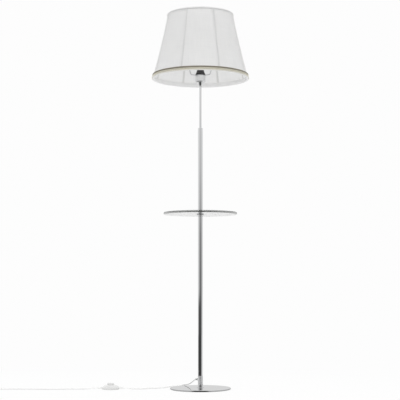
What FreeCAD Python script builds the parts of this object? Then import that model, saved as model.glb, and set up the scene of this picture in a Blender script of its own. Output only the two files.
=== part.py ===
import FreeCAD, Part
import math
import os

# Floor lamp with a round glass table on its pole. Millimetres, +Z up, the floor at z = 0 and the
# pole on the Z axis. -Y is the front, and the cord leaves to the left, along -X.

V = FreeCAD.Vector

# ---------------------------------------------------------------- driving dimensions
# Fits
SLIP = 0.1            # radial clearance of a part that is pushed or screwed onto another
SEAT = 0.3            # gap beside a soft or curved part that only leans on its seat
OVERCUT = 1.0         # how far a cutting body reaches past what it cuts

# Base
BASE_DIAMETER = 245.0
PLATE_THICKNESS = 6.0
PLATE_EDGE_RADIUS = 1.5
PAD_THICKNESS = 1.2
PAD_MARGIN = 4.5          # the pad stops this far inside the plate's rim
RECESS_DEPTH = 3.8        # pocket under the plate for washer and nut
RECESS_RADIUS = 13.0

# Threaded pipes and their fasteners
THREAD_DIAMETER = 10.0
THREAD_BORE = 7.2
NUT_ACROSS_FLATS = 14.0
BASE_NUT_HEIGHT = 2.6
WASHER_THICKNESS = 0.8
WASHER_RADIUS = 11.0
BASE_NIPPLE_STANDOUT = 0.3    # the nipple's end below the nut

# Foot ring and cord collar
FOOT_FLANGE_DIAMETER = 29.0
FOOT_FLANGE_HEIGHT = 2.0
FOOT_FLANGE_CHAMFER = 0.7
FOOT_RING_HEIGHT = 13.3
COLLAR_HEIGHT = 34.0
COLLAR_LOWER_THREAD = 9.0
COLLAR_UPPER_THREAD = 8.0
COLLAR_CHAMBER_DIAMETER = 15.0

# Pole
POLE_DIAMETER = 20.0
POLE_WALL = 1.0
LOWER_TUBE_LENGTH = 647.0
UPPER_TUBE_LENGTH = 337.0
PLUG_LENGTH = 12.0
CAP_HEIGHT = 4.0
CAP_EDGE = 0.8
STEM_DIAMETER = 10.0
STEM_WALL = 1.0
STEM_SHOWN = 176.5        # from the tube cap to the neck cone
STEM_INTO_HOLDER = 9.6    # from the cup's underside to the stem's upper end

# Table
TABLE_DIAMETER = 300.0
GLASS_THICKNESS = 8.0
GLASS_EDGE = 1.0
GLASS_HOLE_DIAMETER = 14.0
FLANGE_DIAMETER = 30.0
FLANGE_RIM = 2.5          # height of the flange's straight rim
FLANGE_HEIGHT = 6.0
GASKET_THICKNESS = 0.8
GASKET_MARGIN = 1.0

# Neck, cup and lamp holder
NECK_HEIGHT = 12.8
NECK_LOWER_DIAMETER = 11.6
NECK_UPPER_DIAMETER = 18.0
CUP_DIAMETER = 41.0
CUP_HEIGHT = 28.6
CUP_WALL = 1.0
CUP_CORNER_RADIUS = 5.0
LOCK_NUT_HEIGHT = 3.0
HOLDER_CAP_DIAMETER = 29.0
HOLDER_CAP_HEIGHT = 18.0
HOLDER_CAP_FLOOR = 6.0
HOLDER_DIAMETER = 26.6
HOLDER_WALL = 2.0
HOLDER_HEIGHT = 40.0
INSULATOR_HEIGHT = 16.0
SCREW_SHELL_BORE = 14.2
SCREW_SHELL_WALL = 0.5
SCREW_SHELL_HEIGHT = 24.0
CONTACT_HEIGHT = 2.4
CONTACT_RADIUS = 3.0
SHADE_RING_DIAMETER = 42.0
SHADE_RING_RIM = 3.0
SHADE_RING_TOP_DIAMETER = 30.0
SHADE_RING_HEIGHT = 20.0

# Bulb
BULB_CAP_DIAMETER = 13.5
BULB_CAP_HEIGHT = 24.0
BULB_GLOBE_DIAMETER = 45.0
BULB_NECK_DIAMETER = 17.0
BULB_GLASS_LENGTH = 53.0
BULB_WALL = 0.8

# Shade
SHADE_HEIGHT = 270.0
SHADE_BOTTOM_DIAMETER = 398.0
SHADE_TOP_DIAMETER = 271.4
FABRIC_THICKNESS = 0.8
FITTER_RECESS = 13.4      # the fitter ring's underside above the shade's lower edge
FITTER_THICKNESS = 1.6
FITTER_DIAMETER = 42.6
FITTER_HOLE_DIAMETER = 28.0
RING_WIRE = 3.5
RIB_WIRE = 2.5
RIB_COUNT = 8
RIB_FIRST_ANGLE = 22.5
ARM_WIRE = 3.0
ARM_COUNT = 3
ARM_FIRST_ANGLE = 90.0
ARM_BEND_AT = 45.0        # distance from the axis at which an arm turns upwards
ARM_BEND_RADIUS = 9.0
TRIM_HEIGHT = 17.6
TRIM_THICKNESS = 1.0
HEM_HEIGHT = 7.0
HEM_THICKNESS = 0.6
TRIM_GAP = 0.05

# Cord
CORD_DIAMETER = 5.5
INNER_CABLE_DIAMETER = 5.0
INNER_CABLE_BEND = 7.0
EXIT_ANGLE = 145.0        # direction in which the cord leaves the collar, from +X
EXIT_ABOVE_COLLAR_FOOT = 19.5
GROMMET_NECK_RADIUS = 4.0
GROMMET_FLANGE_RADIUS = 5.2
GROMMET_FLANGE_THICKNESS = 1.9
GROMMET_REACH = 22.0      # the grommet's outer end, from the pole's axis
GROMMET_END_RADIUS = 3.7

# Foot switch
SWITCH_X = -363.0
SWITCH_Y = 4.0
SWITCH_DIAMETER = 68.0
SWITCH_WALL = 2.0
SWITCH_SPLIT = 6.5        # height of the joint between base and cover, and of the cord's axis
SWITCH_EDGE_RADIUS = 1.2
COVER_HEIGHT = 17.5
COVER_OPENING_DIAMETER = 26.8
COVER_LIP = 2.0
COVER_SHOULDER_RADIUS = 28.0
COVER_SHOULDER_HEIGHT = 13.8
BUTTON_DIAMETER = 26.0
BUTTON_WALL = 1.6
BUTTON_RIM_HEIGHT = 25.4  # where the crown would meet the side without its rounding
BUTTON_TOP_HEIGHT = 26.8
BUTTON_EDGE_RADIUS = 3.2
BUTTON_TRAVEL = 3.0
BUTTON_FLANGE = 1.6
BUTTON_POST_RADIUS = 8.0
BUTTON_REST = 0.5         # air left over the mechanism's stub under a fully pressed button
MECHANISM_LENGTH = 32.0
MECHANISM_WIDTH = 22.0
MECHANISM_HEIGHT = 7.3
MECHANISM_STUB_RADIUS = 3.6
MECHANISM_STUB_HEIGHT = 7.0
CONTACT_STRIP = (7.0, 5.0, 0.8)
SPRING_RADIUS = 5.2
SPRING_WIRE = 0.9
SPRING_TURNS = 5
SCREW_COUNT = 3
SCREW_CIRCLE = 24.0
SCREW_FIRST_ANGLE = 90.0
SCREW_RADIUS = 1.4
SCREW_HEAD_RADIUS = 2.6
SCREW_HEAD_HEIGHT = 1.2
SCREW_HEIGHT = 11.0
BOSS_RADIUS = 3.4
BOSS_TOP = 13.0
CLAMP_FROM_CENTRE = 24.5
CLAMP_SIZE = (4.0, 12.0, 2.0)
BOOT_LENGTH = 20.0
BOOT_RADIUS = 4.2
BOOT_END_RADIUS = 3.4
BOOT_COLLAR = 2.0         # straight part of a boot outside the switch

# Coil of put-away cord
COIL_X = -866.0
COIL_ENTRY_Y = -4.0
COIL_TURNS = 4.25
COIL_PITCH = 6.1
COIL_LAYER = 6.05
COIL_MIDDLE_RADIUS = 32.0
COIL_LEAD_OUT = 27.0
COIL_LEAD_DRIFT = 1.5     # sideways, towards -X, along the lead-out
TIE_THICKNESS = 0.8
TIE_WIDTH = 10.0
TIE_GAP = 0.7
TIE_CORNER = 3.0

# Plug
PLUG_WIDTH = 35.0
PLUG_THICKNESS = 14.0
PLUG_BODY_LENGTH = 36.0
PLUG_NECK_WIDTH = 16.0
PLUG_EDGE_RADIUS = 2.5
PLUG_BOOT_LENGTH = 24.0
PLUG_BOOT_RADIUS = 5.0
PIN_DIAMETER = 4.0
PIN_LENGTH = 19.0
PIN_ROOT_DIAMETER = 5.0   # the thicker end moulded into the body
PIN_SPACING = 18.6
PIN_DEPTH = 7.0

# ---------------------------------------------------------------- heights, floor upwards
BASE_TOP = PAD_THICKNESS + PLATE_THICKNESS
FOOT_TOP = BASE_TOP + FOOT_RING_HEIGHT
COLLAR_TOP = FOOT_TOP + COLLAR_HEIGHT
LOWER_TUBE_TOP = COLLAR_TOP + LOWER_TUBE_LENGTH
LOWER_FLANGE_TOP = LOWER_TUBE_TOP + FLANGE_HEIGHT
GLASS_BOTTOM = LOWER_FLANGE_TOP + GASKET_THICKNESS
GLASS_TOP = GLASS_BOTTOM + GLASS_THICKNESS
UPPER_FLANGE_BOTTOM = GLASS_TOP + GASKET_THICKNESS
UPPER_FLANGE_TOP = UPPER_FLANGE_BOTTOM + FLANGE_HEIGHT
UPPER_TUBE_TOP = UPPER_FLANGE_TOP + UPPER_TUBE_LENGTH
CAP_TOP = UPPER_TUBE_TOP + CAP_HEIGHT
NECK_BOTTOM = CAP_TOP + STEM_SHOWN
CUP_BOTTOM = NECK_BOTTOM + NECK_HEIGHT
CUP_RIM = CUP_BOTTOM + CUP_HEIGHT
FITTER_TOP = CUP_RIM + FITTER_THICKNESS
STEM_TOP = CUP_BOTTOM + STEM_INTO_HOLDER
LOCK_NUT_BOTTOM = CUP_BOTTOM + CUP_WALL
HOLDER_CAP_BOTTOM = LOCK_NUT_BOTTOM + LOCK_NUT_HEIGHT
HOLDER_CAP_TOP = HOLDER_CAP_BOTTOM + HOLDER_CAP_HEIGHT
INSULATOR_BOTTOM = HOLDER_CAP_BOTTOM + HOLDER_CAP_FLOOR
INSULATOR_TOP = INSULATOR_BOTTOM + INSULATOR_HEIGHT
BULB_BOTTOM = INSULATOR_TOP + CONTACT_HEIGHT
BULB_GLASS_BOTTOM = BULB_BOTTOM + BULB_CAP_HEIGHT
SHADE_BOTTOM = CUP_RIM - FITTER_RECESS
SHADE_TOP = SHADE_BOTTOM + SHADE_HEIGHT
EXIT_HEIGHT = FOOT_TOP + EXIT_ABOVE_COLLAR_FOOT
CORD_ON_FLOOR = CORD_DIAMETER / 2

THREAD_RADIUS = THREAD_DIAMETER / 2
THREAD_HOLE = THREAD_RADIUS + SLIP
POLE_RADIUS = POLE_DIAMETER / 2
TUBE_BORE_RADIUS = POLE_RADIUS - POLE_WALL


# ---------------------------------------------------------------- shape helpers
def cylinder(radius, low, high, x=0.0, y=0.0):
    return Part.makeCylinder(radius, high - low, V(x, y, low))


def sleeve(outer, inner, low, high, x=0.0, y=0.0):
    return cylinder(outer, low, high, x, y).cut(cylinder(inner, low - OVERCUT, high + OVERCUT, x, y))


def turned(profile):
    """A solid of revolution round Z. The profile holds (radius, z) corners, and a third value
    of True marks the middle point of an arc between its neighbours."""
    points = [(V(p[0], 0, p[1]), len(p) > 2) for p in profile]
    edges, count, i = [], len(profile), 0
    while i < count:
        start, (end, is_arc) = points[i][0], points[(i + 1) % count]
        if is_arc:
            edges.append(Part.Arc(start, end, points[(i + 2) % count][0]).toShape())
            i += 2
        else:
            edges.append(Part.LineSegment(start, end).toShape())
            i += 1
    return Part.Face(Part.Wire(edges)).revolve(V(0, 0, 0), V(0, 0, 1), 360)


def hex_nut(bore, low, height):
    corner = NUT_ACROSS_FLATS / math.sqrt(3)
    ring = [V(corner * math.cos(a), corner * math.sin(a), low)
            for a in (math.radians(60 * k) for k in range(7))]
    prism = Part.Face(Part.makePolygon(ring)).extrude(V(0, 0, height))
    return prism.cut(cylinder(bore, low - OVERCUT, low + height + OVERCUT))


def spun(shape, angle):
    """A copy of a shape, turned about the pole's axis."""
    copy = shape.copy()
    copy.rotate(V(0, 0, 0), V(0, 0, 1), angle)
    return copy


def along(shape, origin, direction):
    """A shape modelled along +Z from the world's origin, moved to lie along a direction."""
    copy = shape.copy()
    copy.Placement = FreeCAD.Placement(origin, FreeCAD.Rotation(V(0, 0, 1), direction))
    return copy


def swept(edges, diameter):
    """A round tube along a chain of tangent edges."""
    path = Part.Wire(edges)
    first = path.OrderedEdges[0]
    start = first.valueAt(first.FirstParameter)
    heading = first.tangentAt(first.FirstParameter)
    circle = Part.Wire([Part.Circle(start, heading, diameter / 2).toShape()])
    tube = Part.Solid(path.makePipeShell([circle], True, False))
    expected = math.pi * diameter ** 2 / 4 * path.Length
    print("   tube %.0f mm long, volume / (section x length) = %.4f"
          % (path.Length, abs(tube.Volume) / expected))
    return tube


def rounded_path(points, radii=None, name=""):
    """Straight runs joined by tangent arcs. Without given radii, each arc is as large as its
    two runs allow."""
    edges, start, printed = [], points[0], []
    for i in range(1, len(points) - 1):
        back, ahead = points[i] - points[i - 1], points[i + 1] - points[i]
        short = min(back.Length, ahead.Length)
        u, w = back.normalize(), ahead.normalize()
        half = u.getAngle(w) / 2
        radius = radii[i - 1] if radii else 0.45 * short / math.tan(half)
        reach = radius * math.tan(half)
        inward = (w - u).normalize()
        leave, join = points[i] - u * reach, points[i] + w * reach
        middle = points[i] + inward * (radius / math.cos(half) - radius)
        edges.append(Part.LineSegment(start, leave).toShape())
        edges.append(Part.Arc(leave, middle, join).toShape())
        start = join
        printed.append("%.0f" % radius)
    edges.append(Part.LineSegment(start, points[-1]).toShape())
    print(name, "bend radii:", ", ".join(printed))
    return edges


def arc_from(start, heading, end):
    """The arc that leaves start along heading and ends at end."""
    chord = end - start
    along_chord = V(chord).normalize()
    side = heading - along_chord * heading.dot(along_chord)
    if side.Length < 1e-7:
        return Part.LineSegment(start, end).toShape()
    half = heading.getAngle(along_chord) / 2
    middle = start + chord * 0.5 + side.normalize() * (chord.Length / 2 * math.tan(half))
    return Part.Arc(start, middle, end).toShape()


def biarc(start, heading, end, end_heading):
    """Two arcs that join start and end smoothly, with the given headings at both."""
    span, both = end - start, heading + end_heading
    a = 2 * (heading.dot(end_heading) - 1)
    b = -2 * span.dot(both)
    c = span.dot(span)
    if abs(a) < 1e-9:
        reach = -c / b
    else:
        reach = (-b - math.sqrt(b * b - 4 * a * c)) / (2 * a)
    joint = (start + heading * reach + end - end_heading * reach) * 0.5
    second = arc_from(end, end_heading * -1, joint)
    return [arc_from(start, heading, joint), second]


def through(stations):
    """Biarcs through (point, heading) pairs."""
    edges = []
    for (start, heading), (end, end_heading) in zip(stations, stations[1:]):
        edges += biarc(start, heading, end, end_heading)
    return edges


def least_gap(edges, diameter, loop):
    """The least air between a winding and itself, measured on points along its middle."""
    path = Part.Wire(edges)
    count = int(path.Length / diameter * 3)
    points = path.discretize(Number=count)
    skip = int(loop / 2 * count / path.Length)
    return min((p - q).Length for i, p in enumerate(points) for q in points[i + skip:]) - diameter


# ---------------------------------------------------------------- base and pole
def base_plate():
    radius = BASE_DIAMETER / 2
    low, high, edge = PAD_THICKNESS, BASE_TOP, PLATE_EDGE_RADIUS
    plate = cylinder(radius, low, high)
    rim = [e for e in plate.Edges if isinstance(e.Curve, Part.Circle)]
    plate = plate.makeFillet(edge, rim)
    pocket = cylinder(RECESS_RADIUS, low - OVERCUT, low + RECESS_DEPTH)
    return plate.cut(pocket).cut(cylinder(THREAD_HOLE, low, high + OVERCUT))


def base_pad():
    return sleeve(BASE_DIAMETER / 2 - PAD_MARGIN, RECESS_RADIUS, 0, PAD_THICKNESS)


RECESS_TOP = PAD_THICKNESS + RECESS_DEPTH
BASE_NUT_BOTTOM = RECESS_TOP - WASHER_THICKNESS - BASE_NUT_HEIGHT


def base_washer():
    return sleeve(WASHER_RADIUS, THREAD_HOLE, RECESS_TOP - WASHER_THICKNESS, RECESS_TOP)


def base_nut():
    return hex_nut(THREAD_HOLE, BASE_NUT_BOTTOM, BASE_NUT_HEIGHT)


def base_nipple():
    return sleeve(THREAD_RADIUS, THREAD_BORE / 2, BASE_NUT_BOTTOM - BASE_NIPPLE_STANDOUT,
                  FOOT_TOP + COLLAR_LOWER_THREAD - SEAT)


def foot_ring():
    flange, c = FOOT_FLANGE_DIAMETER / 2, FOOT_FLANGE_CHAMFER
    shoulder = BASE_TOP + FOOT_FLANGE_HEIGHT
    return turned([(THREAD_HOLE, BASE_TOP), (flange, BASE_TOP), (flange, shoulder - c),
                   (flange - c, shoulder), (POLE_RADIUS, shoulder), (POLE_RADIUS, FOOT_TOP),
                   (THREAD_HOLE, FOOT_TOP)])


def exit_direction():
    return V(math.cos(math.radians(EXIT_ANGLE)), math.sin(math.radians(EXIT_ANGLE)), 0)


def cord_collar():
    chamber_low = FOOT_TOP + COLLAR_LOWER_THREAD
    chamber_high = COLLAR_TOP - COLLAR_UPPER_THREAD
    collar = sleeve(POLE_RADIUS, THREAD_HOLE, FOOT_TOP, COLLAR_TOP)
    collar = collar.cut(cylinder(COLLAR_CHAMBER_DIAMETER / 2, chamber_low, chamber_high))
    hole = Part.makeCylinder(GROMMET_NECK_RADIUS + SLIP, POLE_DIAMETER)
    return collar.cut(along(hole, V(0, 0, EXIT_HEIGHT), exit_direction()))


def cord_grommet():
    bore = CORD_DIAMETER / 2 + SEAT
    inside, face = COLLAR_CHAMBER_DIAMETER / 2, POLE_RADIUS + SLIP
    flange_end = face + GROMMET_FLANGE_THICKNESS
    nose = (GROMMET_FLANGE_RADIUS + GROMMET_END_RADIUS) / 2
    body = turned([(bore, inside), (GROMMET_NECK_RADIUS, inside), (GROMMET_NECK_RADIUS, face),
                   (GROMMET_FLANGE_RADIUS, face), (GROMMET_FLANGE_RADIUS, flange_end),
                   (nose, flange_end), (GROMMET_END_RADIUS, GROMMET_REACH),
                   (bore, GROMMET_REACH)])
    return along(body, V(0, 0, EXIT_HEIGHT), exit_direction())


def collar_nipple():
    return sleeve(THREAD_RADIUS, THREAD_BORE / 2, COLLAR_TOP - COLLAR_UPPER_THREAD,
                  COLLAR_TOP + PLUG_LENGTH)


def tube(low, length):
    return sleeve(POLE_RADIUS, TUBE_BORE_RADIUS, low, low + length)


def tube_plugs(low, length):
    """The threaded plugs pressed into both ends of a tube."""
    outer = TUBE_BORE_RADIUS - SLIP / 2
    return Part.makeCompound([sleeve(outer, THREAD_HOLE, low, low + PLUG_LENGTH),
                              sleeve(outer, THREAD_HOLE, low + length - PLUG_LENGTH,
                                     low + length)])


def tube_cap():
    hole = STEM_DIAMETER / 2 + SLIP
    return turned([(hole, UPPER_TUBE_TOP), (POLE_RADIUS, UPPER_TUBE_TOP),
                   (POLE_RADIUS, CAP_TOP - CAP_EDGE), (POLE_RADIUS - CAP_EDGE, CAP_TOP),
                   (hole, CAP_TOP)])


def stem():
    radius = STEM_DIAMETER / 2
    return sleeve(radius, radius - STEM_WALL, UPPER_TUBE_TOP - PLUG_LENGTH, STEM_TOP)


def inner_cable():
    """The cable from the grommet's mouth to the lamp holder."""
    mouth = exit_direction() * GROMMET_REACH + V(0, 0, EXIT_HEIGHT)
    points = [mouth, V(0, 0, EXIT_HEIGHT), V(0, 0, STEM_TOP - SEAT)]
    return swept(rounded_path(points, [INNER_CABLE_BEND], "inner cable"), INNER_CABLE_DIAMETER)


# ---------------------------------------------------------------- table
def table_flange(rim_face, outward):
    """A clamping flange: its wide rim faces the glass and it narrows to the pole."""
    wide, narrow = FLANGE_DIAMETER / 2, POLE_RADIUS
    far = rim_face + outward * FLANGE_HEIGHT
    shoulder = rim_face + outward * FLANGE_RIM
    return turned([(THREAD_HOLE, rim_face), (wide, rim_face), (wide, shoulder),
                   (narrow, far), (THREAD_HOLE, far)])


def table_gasket(low):
    return sleeve(FLANGE_DIAMETER / 2 - GASKET_MARGIN, THREAD_HOLE, low, low + GASKET_THICKNESS)


def table_top():
    r, e, hole = TABLE_DIAMETER / 2, GLASS_EDGE, GLASS_HOLE_DIAMETER / 2
    return turned([(hole, GLASS_BOTTOM), (r - e, GLASS_BOTTOM), (r, GLASS_BOTTOM + e),
                   (r, GLASS_TOP - e), (r - e, GLASS_TOP), (hole, GLASS_TOP)])


def table_bush():
    return sleeve(GLASS_HOLE_DIAMETER / 2 - SLIP, THREAD_HOLE, GLASS_BOTTOM, GLASS_TOP)


def table_nipple():
    return sleeve(THREAD_RADIUS, THREAD_BORE / 2, LOWER_TUBE_TOP - PLUG_LENGTH,
                  UPPER_FLANGE_TOP + PLUG_LENGTH)


# ---------------------------------------------------------------- lamp holder and bulb
def neck_cone():
    hole = STEM_DIAMETER / 2 + SLIP
    return turned([(hole, NECK_BOTTOM), (NECK_LOWER_DIAMETER / 2, NECK_BOTTOM),
                   (NECK_UPPER_DIAMETER / 2, CUP_BOTTOM), (hole, CUP_BOTTOM)])


def holder_cup():
    def round_bottomed(radius, low, corner, high):
        body = cylinder(radius, low, high)
        rim = [e for e in body.Edges
               if isinstance(e.Curve, Part.Circle) and abs(e.Curve.Center.z - low) < 1e-6]
        return body.makeFillet(corner, rim)

    radius, corner = CUP_DIAMETER / 2, CUP_CORNER_RADIUS
    outside = round_bottomed(radius, CUP_BOTTOM, corner, CUP_RIM)
    inside = round_bottomed(radius - CUP_WALL, CUP_BOTTOM + CUP_WALL, corner - CUP_WALL,
                            CUP_RIM + OVERCUT)
    hole = cylinder(STEM_DIAMETER / 2 + SLIP, CUP_BOTTOM - OVERCUT, CUP_RIM)
    return outside.cut(inside).cut(hole)


def holder_lock_nut():
    return hex_nut(STEM_DIAMETER / 2 + SLIP, LOCK_NUT_BOTTOM, LOCK_NUT_HEIGHT)


def holder_cap():
    radius = HOLDER_CAP_DIAMETER / 2
    cap = cylinder(radius, HOLDER_CAP_BOTTOM, HOLDER_CAP_TOP)
    inside = cylinder(radius - HOLDER_WALL, INSULATOR_BOTTOM, HOLDER_CAP_TOP + OVERCUT)
    hole = cylinder(STEM_DIAMETER / 2 + SLIP, HOLDER_CAP_BOTTOM - OVERCUT, HOLDER_CAP_TOP)
    return cap.cut(inside).cut(hole)


def holder_body():
    radius = HOLDER_DIAMETER / 2
    return sleeve(radius, radius - HOLDER_WALL, HOLDER_CAP_TOP, HOLDER_CAP_TOP + HOLDER_HEIGHT)


def holder_insulator():
    radius = HOLDER_CAP_DIAMETER / 2 - HOLDER_WALL - SLIP
    step = HOLDER_DIAMETER / 2 - HOLDER_WALL - SLIP
    return turned([(0, INSULATOR_BOTTOM), (radius, INSULATOR_BOTTOM),
                   (radius, HOLDER_CAP_TOP - SEAT), (step, HOLDER_CAP_TOP - SEAT),
                   (step, INSULATOR_TOP), (0, INSULATOR_TOP)])


def screw_shell():
    inner = SCREW_SHELL_BORE / 2
    return sleeve(inner + SCREW_SHELL_WALL, inner, INSULATOR_TOP,
                  INSULATOR_TOP + SCREW_SHELL_HEIGHT)


def centre_contact():
    return cylinder(CONTACT_RADIUS, INSULATOR_TOP, BULB_BOTTOM)


def bulb_cap():
    r, tip = BULB_CAP_DIAMETER / 2, CONTACT_RADIUS
    shoulder = BULB_BOTTOM + r - tip
    return turned([(0, BULB_BOTTOM), (tip, BULB_BOTTOM), (r, shoulder),
                   (r, BULB_GLASS_BOTTOM), (0, BULB_GLASS_BOTTOM)])


def bulb_glass():
    """An opal globe, open towards its cap."""
    r, neck, wall = BULB_GLOBE_DIAMETER / 2, BULB_NECK_DIAMETER / 2, BULB_WALL
    low, foot_radius = BULB_GLASS_BOTTOM, BULB_CAP_DIAMETER / 2
    centre = low + BULB_GLASS_LENGTH - r

    def on_globe(radius, at_neck):
        """Where the globe meets its neck, and the middle of the arc from there to the top."""
        foot = math.acos(at_neck / radius)
        middle = (math.pi / 2 - foot) / 2
        return ((at_neck, centre - radius * math.sin(foot)),
                (radius * math.cos(middle), centre + radius * math.sin(middle), True))

    outer_foot, outer_middle = on_globe(r, neck)
    inner_foot, inner_middle = on_globe(r - wall, neck - wall)
    return turned([(foot_radius - wall, low), (foot_radius, low), outer_foot, outer_middle,
                   (0, centre + r), (0, centre + r - wall), inner_middle, inner_foot])


def shade_ring():
    hole, rim = HOLDER_DIAMETER / 2 + SEAT, SHADE_RING_DIAMETER / 2
    top, upper = FITTER_TOP + SHADE_RING_HEIGHT, SHADE_RING_TOP_DIAMETER / 2
    return turned([(hole, FITTER_TOP), (rim, FITTER_TOP), (rim, FITTER_TOP + SHADE_RING_RIM),
                   (upper, top - SHADE_RING_RIM), (upper, top), (hole, top)])


# ---------------------------------------------------------------- shade
SHADE_SLOPE = math.atan2((SHADE_BOTTOM_DIAMETER - SHADE_TOP_DIAMETER) / 2, SHADE_HEIGHT)


def shade_radius(z):
    """The fabric's outer radius at a height."""
    return SHADE_BOTTOM_DIAMETER / 2 - (z - SHADE_BOTTOM) * math.tan(SHADE_SLOPE)


def shade_band(low, high, inner, outer):
    """A conical band between two distances from the fabric's outer surface."""
    return turned([(shade_radius(low) + inner, low), (shade_radius(low) + outer, low),
                   (shade_radius(high) + outer, high), (shade_radius(high) + inner, high)])


def shade_cover():
    return shade_band(SHADE_BOTTOM, SHADE_TOP, -FABRIC_THICKNESS / math.cos(SHADE_SLOPE), 0)


def braid_trim():
    return shade_band(SHADE_BOTTOM, SHADE_BOTTOM + TRIM_HEIGHT, TRIM_GAP,
                      TRIM_GAP + TRIM_THICKNESS)


def top_hem():
    return shade_band(SHADE_TOP - HEM_HEIGHT, SHADE_TOP, TRIM_GAP, TRIM_GAP + HEM_THICKNESS)


BOTTOM_RING_Z = SHADE_BOTTOM + RING_WIRE / 2 + SEAT
TOP_RING_Z = SHADE_TOP - RING_WIRE / 2 - SEAT


def wire_radius(z):
    """Distance from the axis at which the frame's rings and ribs lie behind the fabric."""
    return shade_radius(z) - (FABRIC_THICKNESS + SEAT + RING_WIRE / 2) / math.cos(SHADE_SLOPE)


def frame_ring(z):
    return Part.makeTorus(wire_radius(z), RING_WIRE / 2, V(0, 0, z), V(0, 0, 1))


def shade_ribs():
    low = V(wire_radius(BOTTOM_RING_Z), 0, BOTTOM_RING_Z)
    high = V(wire_radius(TOP_RING_Z), 0, TOP_RING_Z)
    run = V(high - low).normalize()
    trim = RING_WIRE / 2 + SLIP
    rib = Part.makeCylinder(RIB_WIRE / 2, (high - low).Length - 2 * trim, low + run * trim, run)
    return Part.makeCompound([spun(rib, RIB_FIRST_ANGLE + 360 / RIB_COUNT * k)
                              for k in range(RIB_COUNT)])


FITTER_MIDDLE = CUP_RIM + FITTER_THICKNESS / 2


def fitter_ring():
    return sleeve(FITTER_DIAMETER / 2, FITTER_HOLE_DIAMETER / 2, CUP_RIM, FITTER_TOP)


def spider_arms():
    bend = V(ARM_BEND_AT, 0, FITTER_MIDDLE)
    top = V(wire_radius(TOP_RING_Z), 0, TOP_RING_Z)
    run = V(top - bend).normalize()
    end = top - run * (RING_WIRE / 2 + SLIP)
    start = V(FITTER_DIAMETER / 2 + SLIP, 0, FITTER_MIDDLE)
    arm = swept(rounded_path([start, bend, end], [ARM_BEND_RADIUS], "spider arm"), ARM_WIRE)
    return Part.makeCompound([spun(arm, ARM_FIRST_ANGLE + 360 / ARM_COUNT * k)
                              for k in range(ARM_COUNT)])


# ---------------------------------------------------------------- cord
BOOT_END = SWITCH_DIAMETER / 2 + BOOT_LENGTH    # from the switch's centre to a boot's end

COIL_OUTER_RADIUS = COIL_MIDDLE_RADIUS + COIL_PITCH * COIL_TURNS / 4
COIL_INNER_RADIUS = COIL_MIDDLE_RADIUS - COIL_PITCH * COIL_TURNS / 4
COIL_Y = COIL_ENTRY_Y - COIL_OUTER_RADIUS
COIL_LIFT = TIE_THICKNESS + TIE_GAP / 2       # the tie passes under the coil
COIL_LOWER_Z = CORD_ON_FLOOR + COIL_LIFT
COIL_UPPER_Z = COIL_LOWER_Z + COIL_LAYER
COIL_ENTRY = V(COIL_X + CORD_DIAMETER, COIL_ENTRY_Y, CORD_ON_FLOOR)
PLUG_Z = PLUG_THICKNESS / 2


def lamp_side_route():
    """From the grommet over the base's back rim to the floor, and round to the switch."""
    out = exit_direction()
    mouth = out * GROMMET_REACH + V(0, 0, EXIT_HEIGHT)
    floor = CORD_ON_FLOOR
    return [mouth, mouth + out * 12,
            V(-36, 38, 30.5),
            V(-43, 63, 20.5),
            V(-53, 86, 16),
            V(-69, 107, 15.5),
            V(-91, 120, 8.5),
            V(-115, 117, floor),
            V(-132, 99, floor),
            V(-140, 75, floor),
            V(-153, 54, floor),
            V(-176, 44, floor),
            V(-201, 36, floor),
            V(-221, 17, floor),
            V(-246, 3, floor),
            V(-275, 0, floor + 0.7),
            V(SWITCH_X + BOOT_END + 12, SWITCH_Y, SWITCH_SPLIT),
            V(SWITCH_X + BOOT_END, SWITCH_Y, SWITCH_SPLIT)]


def plug_side_route():
    """From the switch straight along the floor to the coil, with the slight waves that it
    keeps from its packing."""
    floor = CORD_ON_FLOOR
    return [V(SWITCH_X - BOOT_END, SWITCH_Y, SWITCH_SPLIT),
            V(SWITCH_X - BOOT_END - 14, SWITCH_Y, SWITCH_SPLIT),
            V(-457, 3, floor + 0.4),
            V(-508, 4, floor),
            V(-575, -6, floor),
            V(-640, -7, floor),
            V(-706, 1, floor),
            V(-768, 2, floor),
            V(-822, COIL_ENTRY_Y, floor),
            COIL_ENTRY]


def cord_stretch(route, name):
    return swept(rounded_path(route, None, name), CORD_DIAMETER)


def coil_station(angle):
    """Point and heading of the coil at an angle from its start. It spirals in on the floor
    layer, climbs in the half turn where it reverses, and spirals out on the upper layer."""
    total = 2 * math.pi * COIL_TURNS
    half_way = total / 2
    past = angle - half_way
    inward = COIL_PITCH / (2 * math.pi)
    radius = COIL_INNER_RADIUS + inward * abs(past)
    growth = 0.0 if abs(past) < 1e-6 else math.copysign(inward, past)
    quarter = math.pi / 2
    if angle < quarter:
        z, climb = CORD_ON_FLOOR + COIL_LIFT * angle / quarter, 0.0
    elif past <= -quarter:
        z, climb = COIL_LOWER_Z, 0.0
    elif past < quarter:
        share = (past + quarter) / (2 * quarter)
        z, climb = COIL_LOWER_Z + COIL_LAYER * share, COIL_LAYER / (2 * quarter)
    else:
        z, climb = COIL_UPPER_Z, 0.0
    if abs(abs(past) - quarter) < 1e-6:
        climb = 0.0
    a = math.pi / 2 + angle
    out, on = V(math.cos(a), math.sin(a), 0), V(-math.sin(a), math.cos(a), 0)
    heading = (out * growth + on * radius + V(0, 0, climb)).normalize()
    return V(COIL_X, COIL_Y, 0) + out * radius + V(0, 0, z), heading


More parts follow.
